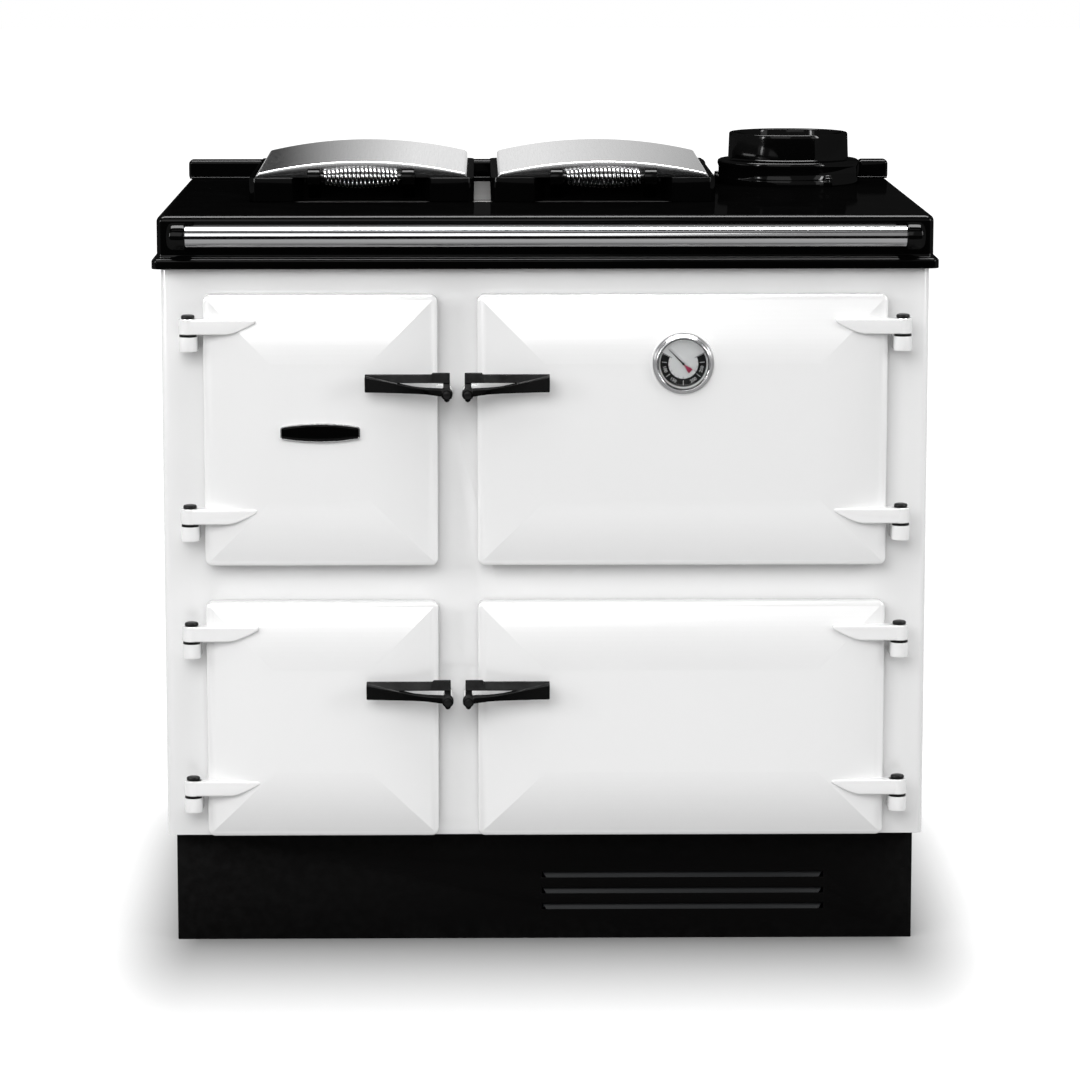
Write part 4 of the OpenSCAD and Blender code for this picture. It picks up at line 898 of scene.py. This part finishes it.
def make_thermometer():
    def fitted(piece, body, slot, finish, replaced, angle=CREASE):
        placed(piece, gauge_place(), OUTWARD)
        done(piece, body, slot, finish, "thermometer_" + replaced, angle=angle)

    bezel = lathe("thermometer_bezel", [
        (33.9, 21), (33.9, 38), (37.6, 38.2), (38, 38.8), (38, 43.6), (37.6, 44.6), (34.3, 50.3),
        (33.6, 50.9), (32.9, 51), (32.3, 50.6), (31.1, 48.2), (30.9, 47), (30.9, 41.9), (27, 41.9)], 96)
    fitted(bezel, "main_oven_door", "chrome", "bezel chrome", "case", angle=45)
    face = lathe("thermometer_face", [
        (31.2, GAUGE_TOP - 1), (31.4, 42.2), (31.4, 42.8), (31.2, GAUGE_TOP)], 96)
    fitted(face, "main_oven_door", "dial_paint", "dial face", "dial")

    marks = [dial_band()]
    marks += [dial_mark(angle, 17.4, 30.2, 0.35, BAND_FOOT, 43.24) for angle in (BAND_START, BAND_END)]
    for step in range(13):
        angle = BAND_START + step * (360 - BAND_START + BAND_END) / 12
        length = 2.6 if step % 3 == 0 else 1.4
        marks.append(dial_mark(angle, 18.6 - length, 18.7, 0.25, BAND_FOOT, BAND_TOP))
    fitted(joined("thermometer_band", marks), "main_oven_door", "dial_paint", "dial black", "dial")

    pale = [dial_mark(angle, 20.6, 26.6, 0.3, 43.21, 43.3) for angle in (175, 217, 270, 323, 365)]
    for number, angle in (("100", 196), ("150", 238), ("200", 302), ("250", 344)):
        pale.append(dial_number(number, angle))
    fitted(joined("thermometer_ticks", pale), "main_oven_door", "dial_paint", "dial face", "dial")

    blade = block("thermometer_pointer", mm(0, -0.9, 43.8), mm(25, 0.9, 44.4))
    with Shaping(blade, "VERT") as shape:
        shape.squeeze(lambda v: v.co.x > 10 * MM, (1, 0.28, 1), (0, 0, 0))
    round_edges(blade, 0.12 * MM, 2)
    hub = lathe("hub", [(1.7, 43.4), (1.7, 44.7), (1.2, 45)], 32)
    pointer = placed(joined("thermometer_pointer", [blade, hub]), (0, 0, 0), turn=(0, 0, NEEDLE_LEAN))
    fitted(pointer, "needle", "red_paint", "dial black", "needle")
    tail, widths = -13 * MM, (0.7, 0.8, 1.7, 3.1, 3.3)
    arrow = block("thermometer_arrow", (tail, -3.2 * MM, 43.9 * MM), (0, 3.2 * MM, 44.5 * MM))
    cut_across(arrow, 10 * MM, len(widths) - 1)
    with Shaping(arrow, "VERT") as shape:
        for i, wide in enumerate(widths):
            x = tail * i / (len(widths) - 1)
            shape.squeeze(lambda v: near(v.co.x, x), (1, wide / 3.2, 1), (x, 0, 0))
    round_edges(arrow, 0.12 * MM, 2)
    placed(arrow, (0, 0, 0), turn=(0, 0, NEEDLE_LEAN))
    fitted(arrow, "needle", "red_paint", "arrow red", "needle")

    glass = lathe("thermometer_window", [
        (30.8, 47), (30.8, 48.2), (26, 49), (16, 49.7), (6, 50), (2, 50)], 96)
    fitted(glass, "main_oven_door", "glass", "gauge glass", "glass")


# ---------- Hob ----------

HOB_LOW, HOB_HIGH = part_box("top_plate")
SPIGOT_LOW, SPIGOT_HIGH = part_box("flue_spigot")
FLUE = (SPIGOT_LOW + SPIGOT_HIGH) / 2
# (inset, height) in millimetres from the foot of the hob's lip to the skirt above it
LIP = [(0.8, 0), (0.2, 0.35), (0, 1.2), (0, 9.4), (0.25, 10.7), (0.9, 11.8), (1.9, 12.7), (3.2, 13.3),
       (4.7, 13.7), (5.5, 14.4), (6.2, 15.6), (6.5, 17.5), (6.5, 24)]
SKIRT_INSET, SKIRT_H, HOB_ROUND = 6.5, 67, 8
HOB_CORNER, POCKET_DEPTH, POCKET_CORNER, FLUE_HOLE_R = 9 * MM, 20 * MM, 10 * MM, 77 * MM
HOB_SIDE_T, HOB_FRONT_T, HOB_BACK_T = 15.5 * MM, 24 * MM, 15 * MM  # from the lip's edge to the hollow below


def grow(profile, width, depth, back):
    """Carries the selected face through (inset, height) steps. The back edge stays straight."""
    inset, height = profile[0]
    for next_inset, next_height in profile[1:]:
        extrude_up(next_height - height)
        across = (width - 2 * next_inset) / (width - 2 * inset)
        along = (depth - next_inset) / (depth - inset)
        bpy.ops.transform.resize(value=(across, along, 1), center_override=(0, back, 0))
        inset, height = next_inset, next_height


def make_hob():
    low, high = HOB_LOW, HOB_HIGH
    width, depth = high.x - low.x, high.y - low.y
    foot, top = low.z, high.z
    first = LIP[0][0] * MM
    piece = added("hob", bpy.ops.mesh.primitive_plane_add, size=1,
                  location=(0, high.y - (depth - first) / 2, foot))
    piece.scale = (width - 2 * first, depth - first, 1)
    fix_place(piece)
    with Shaping(piece, "VERT") as shape:
        shape.pick(lambda v: v.co.y < 0)
        bpy.ops.mesh.bevel(offset=HOB_CORNER, segments=8, affect="VERTICES")
    with Shaping(piece) as shape:
        bpy.ops.mesh.select_all(action="SELECT")
        edge = [(SKIRT_INSET + HOB_ROUND - HOB_ROUND * math.cos(math.radians(a)),
                 SKIRT_H - HOB_ROUND + HOB_ROUND * math.sin(math.radians(a))) for a in range(0, 91, 9)]
        grow([(inset * MM, foot + height * MM) for inset, height in LIP + edge], width, depth, high.y)
    outward(piece)
    seal_low, seal_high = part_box("hotplate_seal")
    pocket = block("pocket", (seal_low.x, seal_low.y, top - POCKET_DEPTH),
                   (seal_high.x, seal_high.y, top + 2 * MM))
    with Shaping(pocket, "EDGE") as shape:
        shape.pick(runs("Z", 10 * MM))
        bpy.ops.mesh.bevel(offset=POCKET_CORNER, segments=6, affect="EDGES")
    cut(piece, pocket)
    cut(piece, block("inner", (low.x + HOB_SIDE_T, low.y + HOB_FRONT_T, foot - 2 * MM),
                     (high.x - HOB_SIDE_T, high.y - HOB_BACK_T, foot + 30 * MM)))
    bore = turned("bore", [(FLUE_HOLE_R, 0), (FLUE_HOLE_R, 0.2)], 64)
    cut(piece, placed(bore, (FLUE.x, FLUE.y, foot - 10 * MM)))
    done(piece, "carcase", "black_enamel", "black enamel", "top_plate", angle=40)


def make_upstand():
    """The two lengths of upstand, each with a bead along the front of its foot."""
    piece = softened("rear_upstand", 4.4 * MM, 4, 30)
    low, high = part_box("rear_upstand")
    across = [v.co.x for v in piece.data.vertices]
    gap_left, gap_right = max(x for x in across if x < FLUE.x), min(x for x in across if x > FLUE.x)
    parts = [piece]
    for x0, x1 in ((low.x, gap_left), (gap_right, high.x)):
        bead = block("bead", (x0 + 1 * MM, low.y - 2.4 * MM, low.z),
                     (x1 - 1 * MM, low.y + 3 * MM, low.z + 2.6 * MM))
        round_edges(bead, 2.2 * MM, 4)
        parts.append(bead)
    done(joined("rear_upstand_shown", parts), "carcase", "black_enamel", "black enamel", "rear_upstand")


def make_hotplate():
    done(softened("hotplate", 1.4 * MM, 3), "carcase", "bare_iron", "ground iron", "hotplate")
    done(softened("hotplate_seal", 1.5 * MM, 3), "carcase", "rope", "braided rope", "hotplate_seal")


def make_flue():
    def fitted(piece, slot, finish, replaced, angle=CREASE):
        done(placed(piece, (FLUE.x, FLUE.y, HOB_HIGH.z)), "carcase", slot, finish, replaced, angle=angle)

    def spoke(radius, angle):
        return radius * MM * math.cos(angle), radius * MM * math.sin(angle), 0

    tall = (SPIGOT_HIGH.z - HOB_HIGH.z) / MM
    spigot = lathe("flue_spigot_turned", [
        (82.5, 0.5), (82.5, 34), (81.9, 50), (81.4, tall - 5), (81.2, tall - 1.8), (80.4, tall - 0.5),
        (79, tall), (76.8, tall - 0.2), (75.6, tall - 1.2), (75.2, tall - 3), (75, 50), (75, 0.5)],
        96, ring=True)
    fitted(spigot, "black_enamel", "black enamel", "flue_spigot", 50)
    parts = [lathe("collar", [
        (97, 0), (97, 7), (96.4, 9.4), (95.6, 10.6), (95.6, 23.5), (96.4, 25), (97, 27), (97, 29.6),
        (96.2, 31.8), (94.4, 33), (87, 33.2), (84.4, 33.8), (83.2, 35), (82.7, 35.6), (82.6, 0)],
        96, ring=True)]
    bolts = []
    for angle in (math.radians(180 + 120 * i) for i in range(3)):
        lug = lathe("lug", [(6.6, 0), (7, 0.4), (7, 10.2), (6.2, 11)], 32)
        parts.append(placed(lug, spoke(95, angle)))
        washer = lathe("washer", [(6.2, 11), (6.5, 11.3), (6.5, 12), (6.1, 12.4)], 32)
        head = lathe("head", [(5.6, 12.3), (5.8, 12.5), (5.8, 15.4), (4.9, 16.2)], 6)
        round_edges(head, 0.4 * MM, 2)
        bolts += [placed(part, spoke(96, angle)) for part in (washer, head)]
    fitted(joined("flue_collar_turned", parts), "black_enamel", "black enamel", "flue_collar", 50)
    fitted(joined("flue_bolts_turned", bolts), "chrome", "hinge black", "flue_bolts")


def make_rail():
    low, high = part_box("towel_rail")
    centre, half, r = (low + high) / 2, (high.x - low.x) / 2, (high.z - low.z) / 2
    bore = r - sizes().rail_wall
    rail = turned("towel_rail_tube", [(bore, -half), (r, -half), (r, half), (bore, half)], 64, ring=True)
    placed(rail, (0, centre.y, centre.z), (0, 90, 0))
    done(rail, "carcase", "chrome", "rail chrome", "towel_rail")
    parts = []
    for side in (-1, 1):
        cup = lathe("cup", [
            (13.6, -1.2), (15.6, -1.2), (16.6, -0.4), (17, 1), (17, 13.5), (16.4, 16.5), (14.8, 19),
            (12.2, 20.8), (8, 21.8), (3, 22)], 56)
        stem = lathe("stem", [(12, 0), (11.4, 6), (11.2, 30), (12, 38), (13.6, 42), (13.6, 45)])
        parts.append(placed(cup, (side * half, centre.y, centre.z), (0, side * 90, 0)))
        parts.append(placed(stem, (side * (half + 11 * MM), centre.y + 6.5 * MM, centre.z), (-90, 0, 0)))
    done(joined("rail_cups", parts), "carcase", "black_enamel", "black enamel", "rail_brackets", angle=45)


# ---------- Lids ----------

DOME_SIDE_H, DOME_RISE, DOME_BACK_RISE = 5 * MM, 16 * MM, 5 * MM
COIL_RUN, COIL_CURLS, POINTS_PER_CURL = 96.8 * MM, 18, 24
COIL_END_R, COIL_MID_R = 7.2 * MM, 12.2 * MM


def make_dome(side):
    """The steel cover of a lid: arched from side to side, and a little higher at the back."""
    low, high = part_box("lid_dome_" + side)
    width, depth, foot = high.x - low.x, high.y - low.y, low.z
    radius = (width ** 2 / 4 + DOME_RISE ** 2) / (2 * DOME_RISE)
    centre, steps, slab = (low.x + high.x) / 2, 40, 20 * MM
    # short steps near the front and back keep the rounded edges from bending the shine between them
    rows = [low.y + 4 * MM, low.y + 8 * MM, high.y - 8 * MM, high.y - 4 * MM]
    piece = block("dome", (low.x, low.y, foot), (high.x, high.y, foot + slab))
    cut_across(piece, 10 * MM, steps)
    with Shaping(piece, "EDGE"):
        for y in rows:
            bpy.ops.mesh.select_all(action="SELECT")
            bpy.ops.mesh.bisect(plane_co=(0, y, 0), plane_no=(0, 1, 0))
    with Shaping(piece, "VERT") as shape:
        for i in range(steps + 1):
            x = low.x + width * i / steps
            arch = DOME_SIDE_H + DOME_RISE - radius + math.sqrt(max(0.0, radius ** 2 - (x - centre) ** 2))
            shape.slide(lambda v: near(v.co.x, x) and v.co.z > foot + slab - 1 * MM, (0, 0, arch - slab))
        for y in rows + [high.y]:
            lift = DOME_BACK_RISE * (y - low.y) / depth
            shape.slide(lambda v: near(v.co.y, y) and v.co.z > foot + 1 * MM, (0, 0, lift))

    def top_edge(axis, places):
        """A test for the top edges that lie at one of two places along an axis."""
        def test(e):
            a, b = e.verts[0].co, e.verts[1].co
            return min(a.z, b.z) > foot + 2 * MM and any(
                near(a[axis], place) and near(b[axis], place) for place in places)
        return test

    ends, across = top_edge(1, (low.y, high.y)), runs("X", 0.1 * MM)
    with Shaping(piece, "EDGE") as shape:
        shape.pick(top_edge(0, (low.x, high.x)))
        bpy.ops.mesh.bevel(offset=4.7 * MM, segments=6, affect="EDGES", clamp_overlap=False)
        shape.pick(lambda e: ends(e) and across(e))
        bpy.ops.mesh.bevel(offset=1.7 * MM, segments=4, affect="EDGES", clamp_overlap=False)
    round_edges(piece, 2.2 * MM, 3, 60)
    piece.name = "lid_dome_" + side + "_arched"
    done(piece, "lid_" + side, "brushed_steel", "brushed dome", "lid_dome_" + side, angle=28)


def make_coil(side):
    """Barrel-shaped coil of round wire on one unbroken path."""
    low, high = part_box("lid_handle_rod_" + side)
    centre = (low + high) / 2
    wire = bpy.data.curves.new("wire", "CURVE")
    wire.dimensions = "3D"
    count = COIL_CURLS * POINTS_PER_CURL
    spline = wire.splines.new("POLY")
    spline.points.add(count)
    for i, point in enumerate(spline.points):
        t = i / count
        r = COIL_END_R + (COIL_MID_R - COIL_END_R) * math.sin(math.pi * t)
        a = 2 * math.pi * COIL_CURLS * t
        place = centre + Vector(((t - 0.5) * COIL_RUN, r * math.cos(a), r * math.sin(a)))
        point.co = (*place, 1)
    wire.bevel_depth = sizes().wire_thickness / 2
    wire.bevel_resolution = 3
    wire.use_fill_caps = True
    piece = bpy.data.objects.new("coil", wire)
    bpy.context.scene.collection.objects.link(piece)
    choose(piece)
    bpy.ops.object.convert(target="MESH")
    piece = bpy.context.object
    piece.name = "lid_coil_" + side
    done(piece, "lid_" + side, "chrome", "coil steel", "lid_handle_coil_" + side, angle=60)


def make_lids():
    for side in ("left", "right"):
        body = "lid_" + side
        shell = softened("lid_frame_" + side, 3.6 * MM, 4, 30)
        done(shell, body, "black_enamel", "black enamel", "lid_frame_" + side)
        make_dome(side)
        posts = softened("lid_handle_posts_" + side, 3 * MM, 4, 30)
        done(posts, body, "black_enamel", "black enamel", "lid_handle_posts_" + side)
        low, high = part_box("lid_handle_rod_" + side)
        rod = lathe("lid_rod_" + side, [(3.4, -69), (3.5, -68.8), (3.5, 68.8), (3.4, 69)], 24)
        placed(rod, (low + high) / 2, (0, 90, 0))
        done(rod, body, "chrome", "hinge black", "lid_handle_rod_" + side)
        make_coil(side)
        liner = softened("lid_liner_" + side, 0.8 * MM, 2)
        done(liner, body, "brushed_steel", "liner steel", "lid_liner_" + side)
    ears = softened("lid_hinge_blocks", 1.2 * MM, 3, 30)
    done(ears, "carcase", "black_enamel", "black enamel", "lid_hinge_blocks")


# ---------- Body ----------

def round_stiles(piece):
    """Gives the front plate its broad outer corners."""
    low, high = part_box("front_plate")
    with Shaping(piece, "EDGE") as shape:
        shape.pick(lambda e: all(near(v.co.y, low.y) for v in e.verts)
                   and any(all(near(v.co.x, x) for v in e.verts) for x in (low.x, high.x)))
        bpy.ops.mesh.bevel(offset=8 * MM, segments=7, affect="EDGES")


def make_body():
    sheet, cast = sizes().sheet_round, sizes().casting_round
    front = softened("front_plate", cast, first=round_stiles)
    done(front, "carcase", "pale_enamel", "pale enamel", "front_plate")
    for name, slot, finish, amount in (
            ("side_panel_left", "pale_enamel", "pale enamel", sheet),
            ("side_panel_right", "pale_enamel", "pale enamel", sheet),
            ("back_panel", "zinc_sheet", "zinc sheet", sheet),
            ("base_plate", "zinc_sheet", "zinc sheet", sheet),
            ("door_catches", "bare_steel", "bare steel", sheet),
            ("main_oven", "oven_enamel", "oven enamel", sheet),
            ("lower_oven", "oven_enamel", "oven enamel", sheet),
            ("firebox", "bare_iron", "fired iron", cast),
            ("burner", "bare_iron", "fired iron", cast),
            ("door_seals", "rope", "braided rope", 2.8 * MM),
            ("insulation_slabs", "mineral_wool", "mineral wool", 3 * MM)):
        done(softened(name, amount), "carcase", slot, finish, name)
    for door in DOORS:
        done(softened(door + "_liner", sheet, 2), door, "oven_enamel", "liner steel", door + "_liner")


LOUVRE_X, LOUVRE_Z, LOUVRE_PITCH = 178 * MM, 63 * MM, 21 * MM
SHELF_HEIGHTS, SHELF_BARS = (0.673, 0.3035), 13


def make_plinth():
    """The plinth, with a folded louvre in each of its three slots."""
    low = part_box("plinth")[0]
    done(softened("plinth", 1.2 * MM, 3), "carcase", "black_paint", "plinth paint", "plinth")
    half_l, foot_half_l = 183, 176
    louvres = []
    for i in (-1, 0, 1):
        lip = block("lip", mm(-half_l, 0, -3.75), mm(half_l, 1.6, 4.6))
        with Shaping(lip, "VERT") as shape:
            shape.slide(lambda v: v.co.z > 0, (0, 7 * MM, 0))
            shape.squeeze(lambda v: v.co.z < 0, (foot_half_l / half_l, 1, 1), (0, 0, 0))
        round_edges(lip, 0.6 * MM, 2, 30)
        louvres.append(placed(lip, (LOUVRE_X, low.y + 0.15 * MM, LOUVRE_Z + i * LOUVRE_PITCH)))
    # the louvres take the copy of the plinth's paint that is painted lighter for the light they catch
    done(joined("plinth_louvres", louvres), "carcase", "black_paint", "lit louvre paint", "plinth")


def make_shelves():
    """Two wire shelves: bars from side to side on three rails."""
    low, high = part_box("oven_shelves")
    centre, size = (low + high) / 2, high - low
    half_bar, half_rail = (size.x - 6 * MM) / 2, size.y / 2
    parts = []
    for z in SHELF_HEIGHTS:
        for i in range(SHELF_BARS):
            y = low.y + 4 * MM + (size.y - 8 * MM) * i / (SHELF_BARS - 1)
            bar = turned("bar", [(1.9 * MM, -half_bar), (1.9 * MM, half_bar)], 12)
            parts.append(placed(bar, (centre.x, y, z), (0, 90, 0)))
        for x in (low.x + 3 * MM, centre.x, high.x - 3 * MM):
            rail = turned("rail", [(2.4 * MM, -half_rail), (2.4 * MM, half_rail)], 12)
            parts.append(placed(rail, (x, centre.y, z), OUTWARD))
    done(joined("oven_shelf_wires", parts), "carcase", "bare_steel", "shelf wire", "oven_shelves")


# ---------- Stage ----------

def lamp(name, place, aim, wide, tall, power, glint=False):
    """A soft light. A glint only shows in glossy surfaces."""
    light = bpy.data.lights.new(name, "AREA")
    light.shape, light.size, light.size_y, light.energy = "RECTANGLE", wide, tall, power
    holder = bpy.data.objects.new(name, light)
    bpy.context.scene.collection.objects.link(holder)
    holder.location = place
    holder.rotation_euler = (Vector(aim) - Vector(place)).to_track_quat("-Z", "Y").to_euler()
    holder.visible_camera = False
    holder.visible_diffuse = not glint


def glowing(piece, name, shade, roughness=0.5):
    """Gives a stage piece a plain grey that can glow, and returns its shader and nodes."""
    material = bpy.data.materials.new(name)
    material.use_nodes = True
    shader = material.node_tree.nodes["Principled BSDF"]
    shader.inputs["Base Color"].default_value = (shade, shade, shade, 1)
    shader.inputs["Roughness"].default_value = roughness
    shader.inputs["Specular IOR Level"].default_value = 0.0
    shader.inputs["Emission Color"].default_value = (1, 1, 1, 1)
    piece.data.materials.append(material)
    return shader, material.node_tree


def card(name, low, high):
    """A thin card that only glossy surfaces see."""
    piece = block(name, low, high)
    shader, tree = glowing(piece, name, 0.01)
    shader.inputs["Emission Strength"].default_value = 0.01
    piece.visible_camera = piece.visible_diffuse = piece.visible_shadow = False
    return shader, tree


def rays(tree, *kinds):
    """1 for the named kinds of ray and 0 for the others."""
    path = node(tree, "ShaderNodeLightPath")
    seen = path.outputs[kinds[0]]
    for kind in kinds[1:]:
        seen = maths(tree, "MAXIMUM", seen, path.outputs[kind])
    return seen


def make_floor():
    """A pale floor that turns to plain white away from the cooker, so only the shadow near it is kept; its
    glow is weakest at the cooker's footprint, which also paints a shadow round the cooker.
    """
    floor = added("floor", bpy.ops.mesh.primitive_plane_add, size=1, location=(0, 0, 0))
    floor.scale = (60, 60, 1)
    fix_place(floor)
    shader, tree = glowing(floor, "floor", 0.35, 0.9)
    away = object_coordinates(tree)
    for operation, by in (("SUBTRACT", (0, 0.03, 0)), ("ABSOLUTE", None), ("SUBTRACT", (0.445, 0.28, 0)),
                          ("MAXIMUM", (0, 0, 0)), ("MULTIPLY", (3.6, 1, 1)), ("LENGTH", None)):
        inputs = {0: away, 1: by} if by else {0: away}
        made = node(tree, "ShaderNodeVectorMath", inputs, operation=operation)
        away = made.outputs["Value" if operation == "LENGTH" else "Vector"]
    # painted shadow: the floor's glow rises from nothing at the cooker's footprint to full 0.58 m out,
    # sooner to the sides, darkening the floor round the cooker whatever the lamps do
    glow = maths(tree, "MULTIPLY", spread(tree, away, 0.0, 1.0, 0.0, 0.58),
                 rays(tree, "Is Camera Ray", "Is Glossy Ray"))
    tree.links.new(glow, shader.inputs["Emission Strength"])


def make_world():
    """White to the camera and in reflections, and a weaker light from all round."""
    world = bpy.context.scene.world = bpy.data.worlds.new("studio")
    world.use_nodes = True
    tree = world.node_tree
    back = tree.nodes["Background"]
    back.inputs["Color"].default_value = (1, 1, 1, 1)
    seen = rays(tree, "Is Camera Ray", "Is Glossy Ray", "Is Transmission Ray")
    tree.links.new(spread(tree, seen, studio().fill, 1.0, 0.0, 1.0), back.inputs["Strength"])


def make_lights():
    key, side, glint = studio().key_power, studio().side_power, studio().glint_power
    lamp("key", (-1.3, -4.4, 2.9), (0, -0.2, 0.6), 3.6, 2.4, key)
    lamp("overhead", (0, -1.3, 3.4), (0, -0.1, 0.6), 3.0, 1.2, studio().top_power)
    lamp("glint above", (0, 0, 3.1), (0, 0, 0.9), 3.0, 1.2, glint * 0.7, True)
    lamp("glint left", (-2.6, -1.9, 1.7), (-0.3, 0, 0.9), 0.25, 1.2, glint * 0.07, True)
    lamp("glint right", (2.8, -1.5, 2.0), (0.3, 0, 0.9), 0.25, 1.2, glint * 0.07, True)
    # dark cards keep the room's white out of the front and the top of the black enamel
    card("flag low", (-3, -2.1, 0.12), (3, -2.09, 1.1))
    card("flag high", (-3, -2.9, 3.3), (3, -0.7, 3.31))
    lamp("side left", (-3.2, -2.2, 1.9), (-0.2, -0.2, 0.7), 1.0, 1.6, side)
    lamp("side right", (3.2, -2.2, 1.9), (0.2, -0.2, 0.7), 1.0, 1.6, side * 1.2)
    # the card behind shines in the domes, brightest a little left of its middle and at its left end
    shader, tree = card("rear card", (-1.1, 1.9, 1.0), (1.3, 1.91, 1.75))
    across = node(tree, "ShaderNodeSeparateXYZ", {"Vector": object_coordinates(tree)}).outputs["X"]
    domes = maths(tree, "MULTIPLY", spread(tree, across, 0.02, studio().rear_glow, -0.486, -0.16),
                  spread(tree, across, 1.0, 0.4, -0.02, 0.42))
    glow = maths(tree, "MAXIMUM", domes, spread(tree, across, 1.0, 0.0, -0.74, -0.62))
    tree.links.new(glow, shader.inputs["Emission Strength"])


def make_camera():
    eye = bpy.data.cameras.new("camera")
    eye.lens = studio().lens
    eye.sensor_width = 36
    holder = bpy.data.objects.new("camera", eye)
    bpy.context.scene.collection.objects.link(holder)
    yaw, pitch = -0.014, 0.154
    holder.location = (-0.0839, -5.7835, 1.3839)
    holder.rotation_euler = (math.pi / 2 - pitch, 0, yaw)
    bpy.context.scene.camera = holder


# ---------- Operators and panel ----------

class MakesPieces:
    bl_options = {"REGISTER", "UNDO"}


class COOKER_OT_finishes(MakesPieces, bpy.types.Operator):
    """Makes the shared effects and every material"""
    bl_idname = "cooker.finishes"
    bl_label = "Finishes"

    def execute(self, context):
        make_effects()
        make_painted_finishes()
        make_metal_finishes()
        make_other_finishes()
        return {"FINISHED"}


class COOKER_OT_doors(MakesPieces, bpy.types.Operator):
    """Makes the four bevelled doors with their hinge arms"""
    bl_idname = "cooker.doors"
    bl_label = "Doors"

    def execute(self, context):
        for door in DOORS:
            make_door(door)
        return {"FINISHED"}


class COOKER_OT_hinges(MakesPieces, bpy.types.Operator):
    """Makes the fixed lugs, the washers and the capped pins"""
    bl_idname = "cooker.hinges"
    bl_label = "Hinges"

    def execute(self, context):
        make_hinges()
        return {"FINISHED"}


class COOKER_OT_levers(MakesPieces, bpy.types.Operator):
    """Makes the four lever handles and their spindles"""
    bl_idname = "cooker.levers"
    bl_label = "Levers"

    def execute(self, context):
        make_levers()
        return {"FINISHED"}


class COOKER_OT_badge(MakesPieces, bpy.types.Operator):
    """Makes the bare badge on the fire door"""
    bl_idname = "cooker.badge"
    bl_label = "Badge"

    def execute(self, context):
        make_badge()
        return {"FINISHED"}


class COOKER_OT_thermometer(MakesPieces, bpy.types.Operator):
    """Makes the oven thermometer"""
    bl_idname = "cooker.thermometer"
    bl_label = "Thermometer"

    def execute(self, context):
        make_thermometer()
        return {"FINISHED"}


class COOKER_OT_hob(MakesPieces, bpy.types.Operator):
    """Makes the hob casting and its upstand"""
    bl_idname = "cooker.hob"
    bl_label = "Hob"

    def execute(self, context):
        make_hob()
        make_upstand()
        return {"FINISHED"}


class COOKER_OT_hotplate(MakesPieces, bpy.types.Operator):
    """Makes the hotplate and its rope seal"""
    bl_idname = "cooker.hotplate"
    bl_label = "Hotplate"

    def execute(self, context):
        make_hotplate()
        return {"FINISHED"}


class COOKER_OT_flue(MakesPieces, bpy.types.Operator):
    """Makes the flue spigot, its collar and the bolts"""
    bl_idname = "cooker.flue"
    bl_label = "Flue"

    def execute(self, context):
        make_flue()
        return {"FINISHED"}


class COOKER_OT_rail(MakesPieces, bpy.types.Operator):
    """Makes the towel rail and its cups"""
    bl_idname = "cooker.rail"
    bl_label = "Towel rail"

    def execute(self, context):
        make_rail()
        return {"FINISHED"}


class COOKER_OT_lids(MakesPieces, bpy.types.Operator):
    """Makes both lids with their coil handles and hinges"""
    bl_idname = "cooker.lids"
    bl_label = "Lids"

    def execute(self, context):
        make_lids()
        return {"FINISHED"}


class COOKER_OT_body(MakesPieces, bpy.types.Operator):
    """Makes the panels, ovens, firebox, seals and door liners"""
    bl_idname = "cooker.body"
    bl_label = "Body"

    def execute(self, context):
        make_body()
        return {"FINISHED"}


class COOKER_OT_plinth(MakesPieces, bpy.types.Operator):
    """Makes the plinth and its louvres"""
    bl_idname = "cooker.plinth"
    bl_label = "Plinth"

    def execute(self, context):
        make_plinth()
        return {"FINISHED"}


class COOKER_OT_shelves(MakesPieces, bpy.types.Operator):
    """Makes the wire shelves"""
    bl_idname = "cooker.shelves"
    bl_label = "Shelves"

    def execute(self, context):
        make_shelves()
        return {"FINISHED"}


class COOKER_OT_stage(MakesPieces, bpy.types.Operator):
    """Makes the floor, the lights and the camera"""
    bl_idname = "cooker.stage"
    bl_label = "Stage"

    def execute(self, context):
        context.scene.view_settings.view_transform = "Standard"
        make_floor()
        make_world()
        make_lights()
        make_camera()
        return {"FINISHED"}


OPERATORS = [
    COOKER_OT_finishes, COOKER_OT_doors, COOKER_OT_hinges, COOKER_OT_levers, COOKER_OT_badge,
    COOKER_OT_thermometer, COOKER_OT_hob, COOKER_OT_hotplate, COOKER_OT_flue, COOKER_OT_rail,
    COOKER_OT_lids, COOKER_OT_body, COOKER_OT_plinth, COOKER_OT_shelves, COOKER_OT_stage,
]


class COOKER_PT_panel(bpy.types.Panel):
    """Lists the groups of pieces and the settings."""
    bl_label = "Range cooker"
    bl_idname = "COOKER_PT_panel"
    bl_space_type = "VIEW_3D"
    bl_region_type = "UI"
    bl_category = "Cooker"

    def draw(self, context):
        for group in (sizes(), colours(), studio()):
            for key in group.__annotations__:
                self.layout.prop(group, key)
        for kind in OPERATORS:
            self.layout.operator(kind.bl_idname)


CLASSES = [CookerSizes, CookerColours, StudioSettings, *OPERATORS, COOKER_PT_panel]


def register():
    for kind in CLASSES:
        bpy.utils.register_class(kind)
    bpy.types.Scene.cooker_sizes = bpy.props.PointerProperty(type=CookerSizes)
    bpy.types.Scene.cooker_colours = bpy.props.PointerProperty(type=CookerColours)
    bpy.types.Scene.cooker_studio = bpy.props.PointerProperty(type=StudioSettings)


def unregister():
    for name in ("cooker_sizes", "cooker_colours", "cooker_studio"):
        delattr(bpy.types.Scene, name)
    for kind in reversed(CLASSES):
        bpy.utils.unregister_class(kind)


def main():
    register()
    for kind in OPERATORS:
        getattr(bpy.ops.cooker, kind.bl_idname.split(".")[1])()


if __name__ == "__main__":
    main()
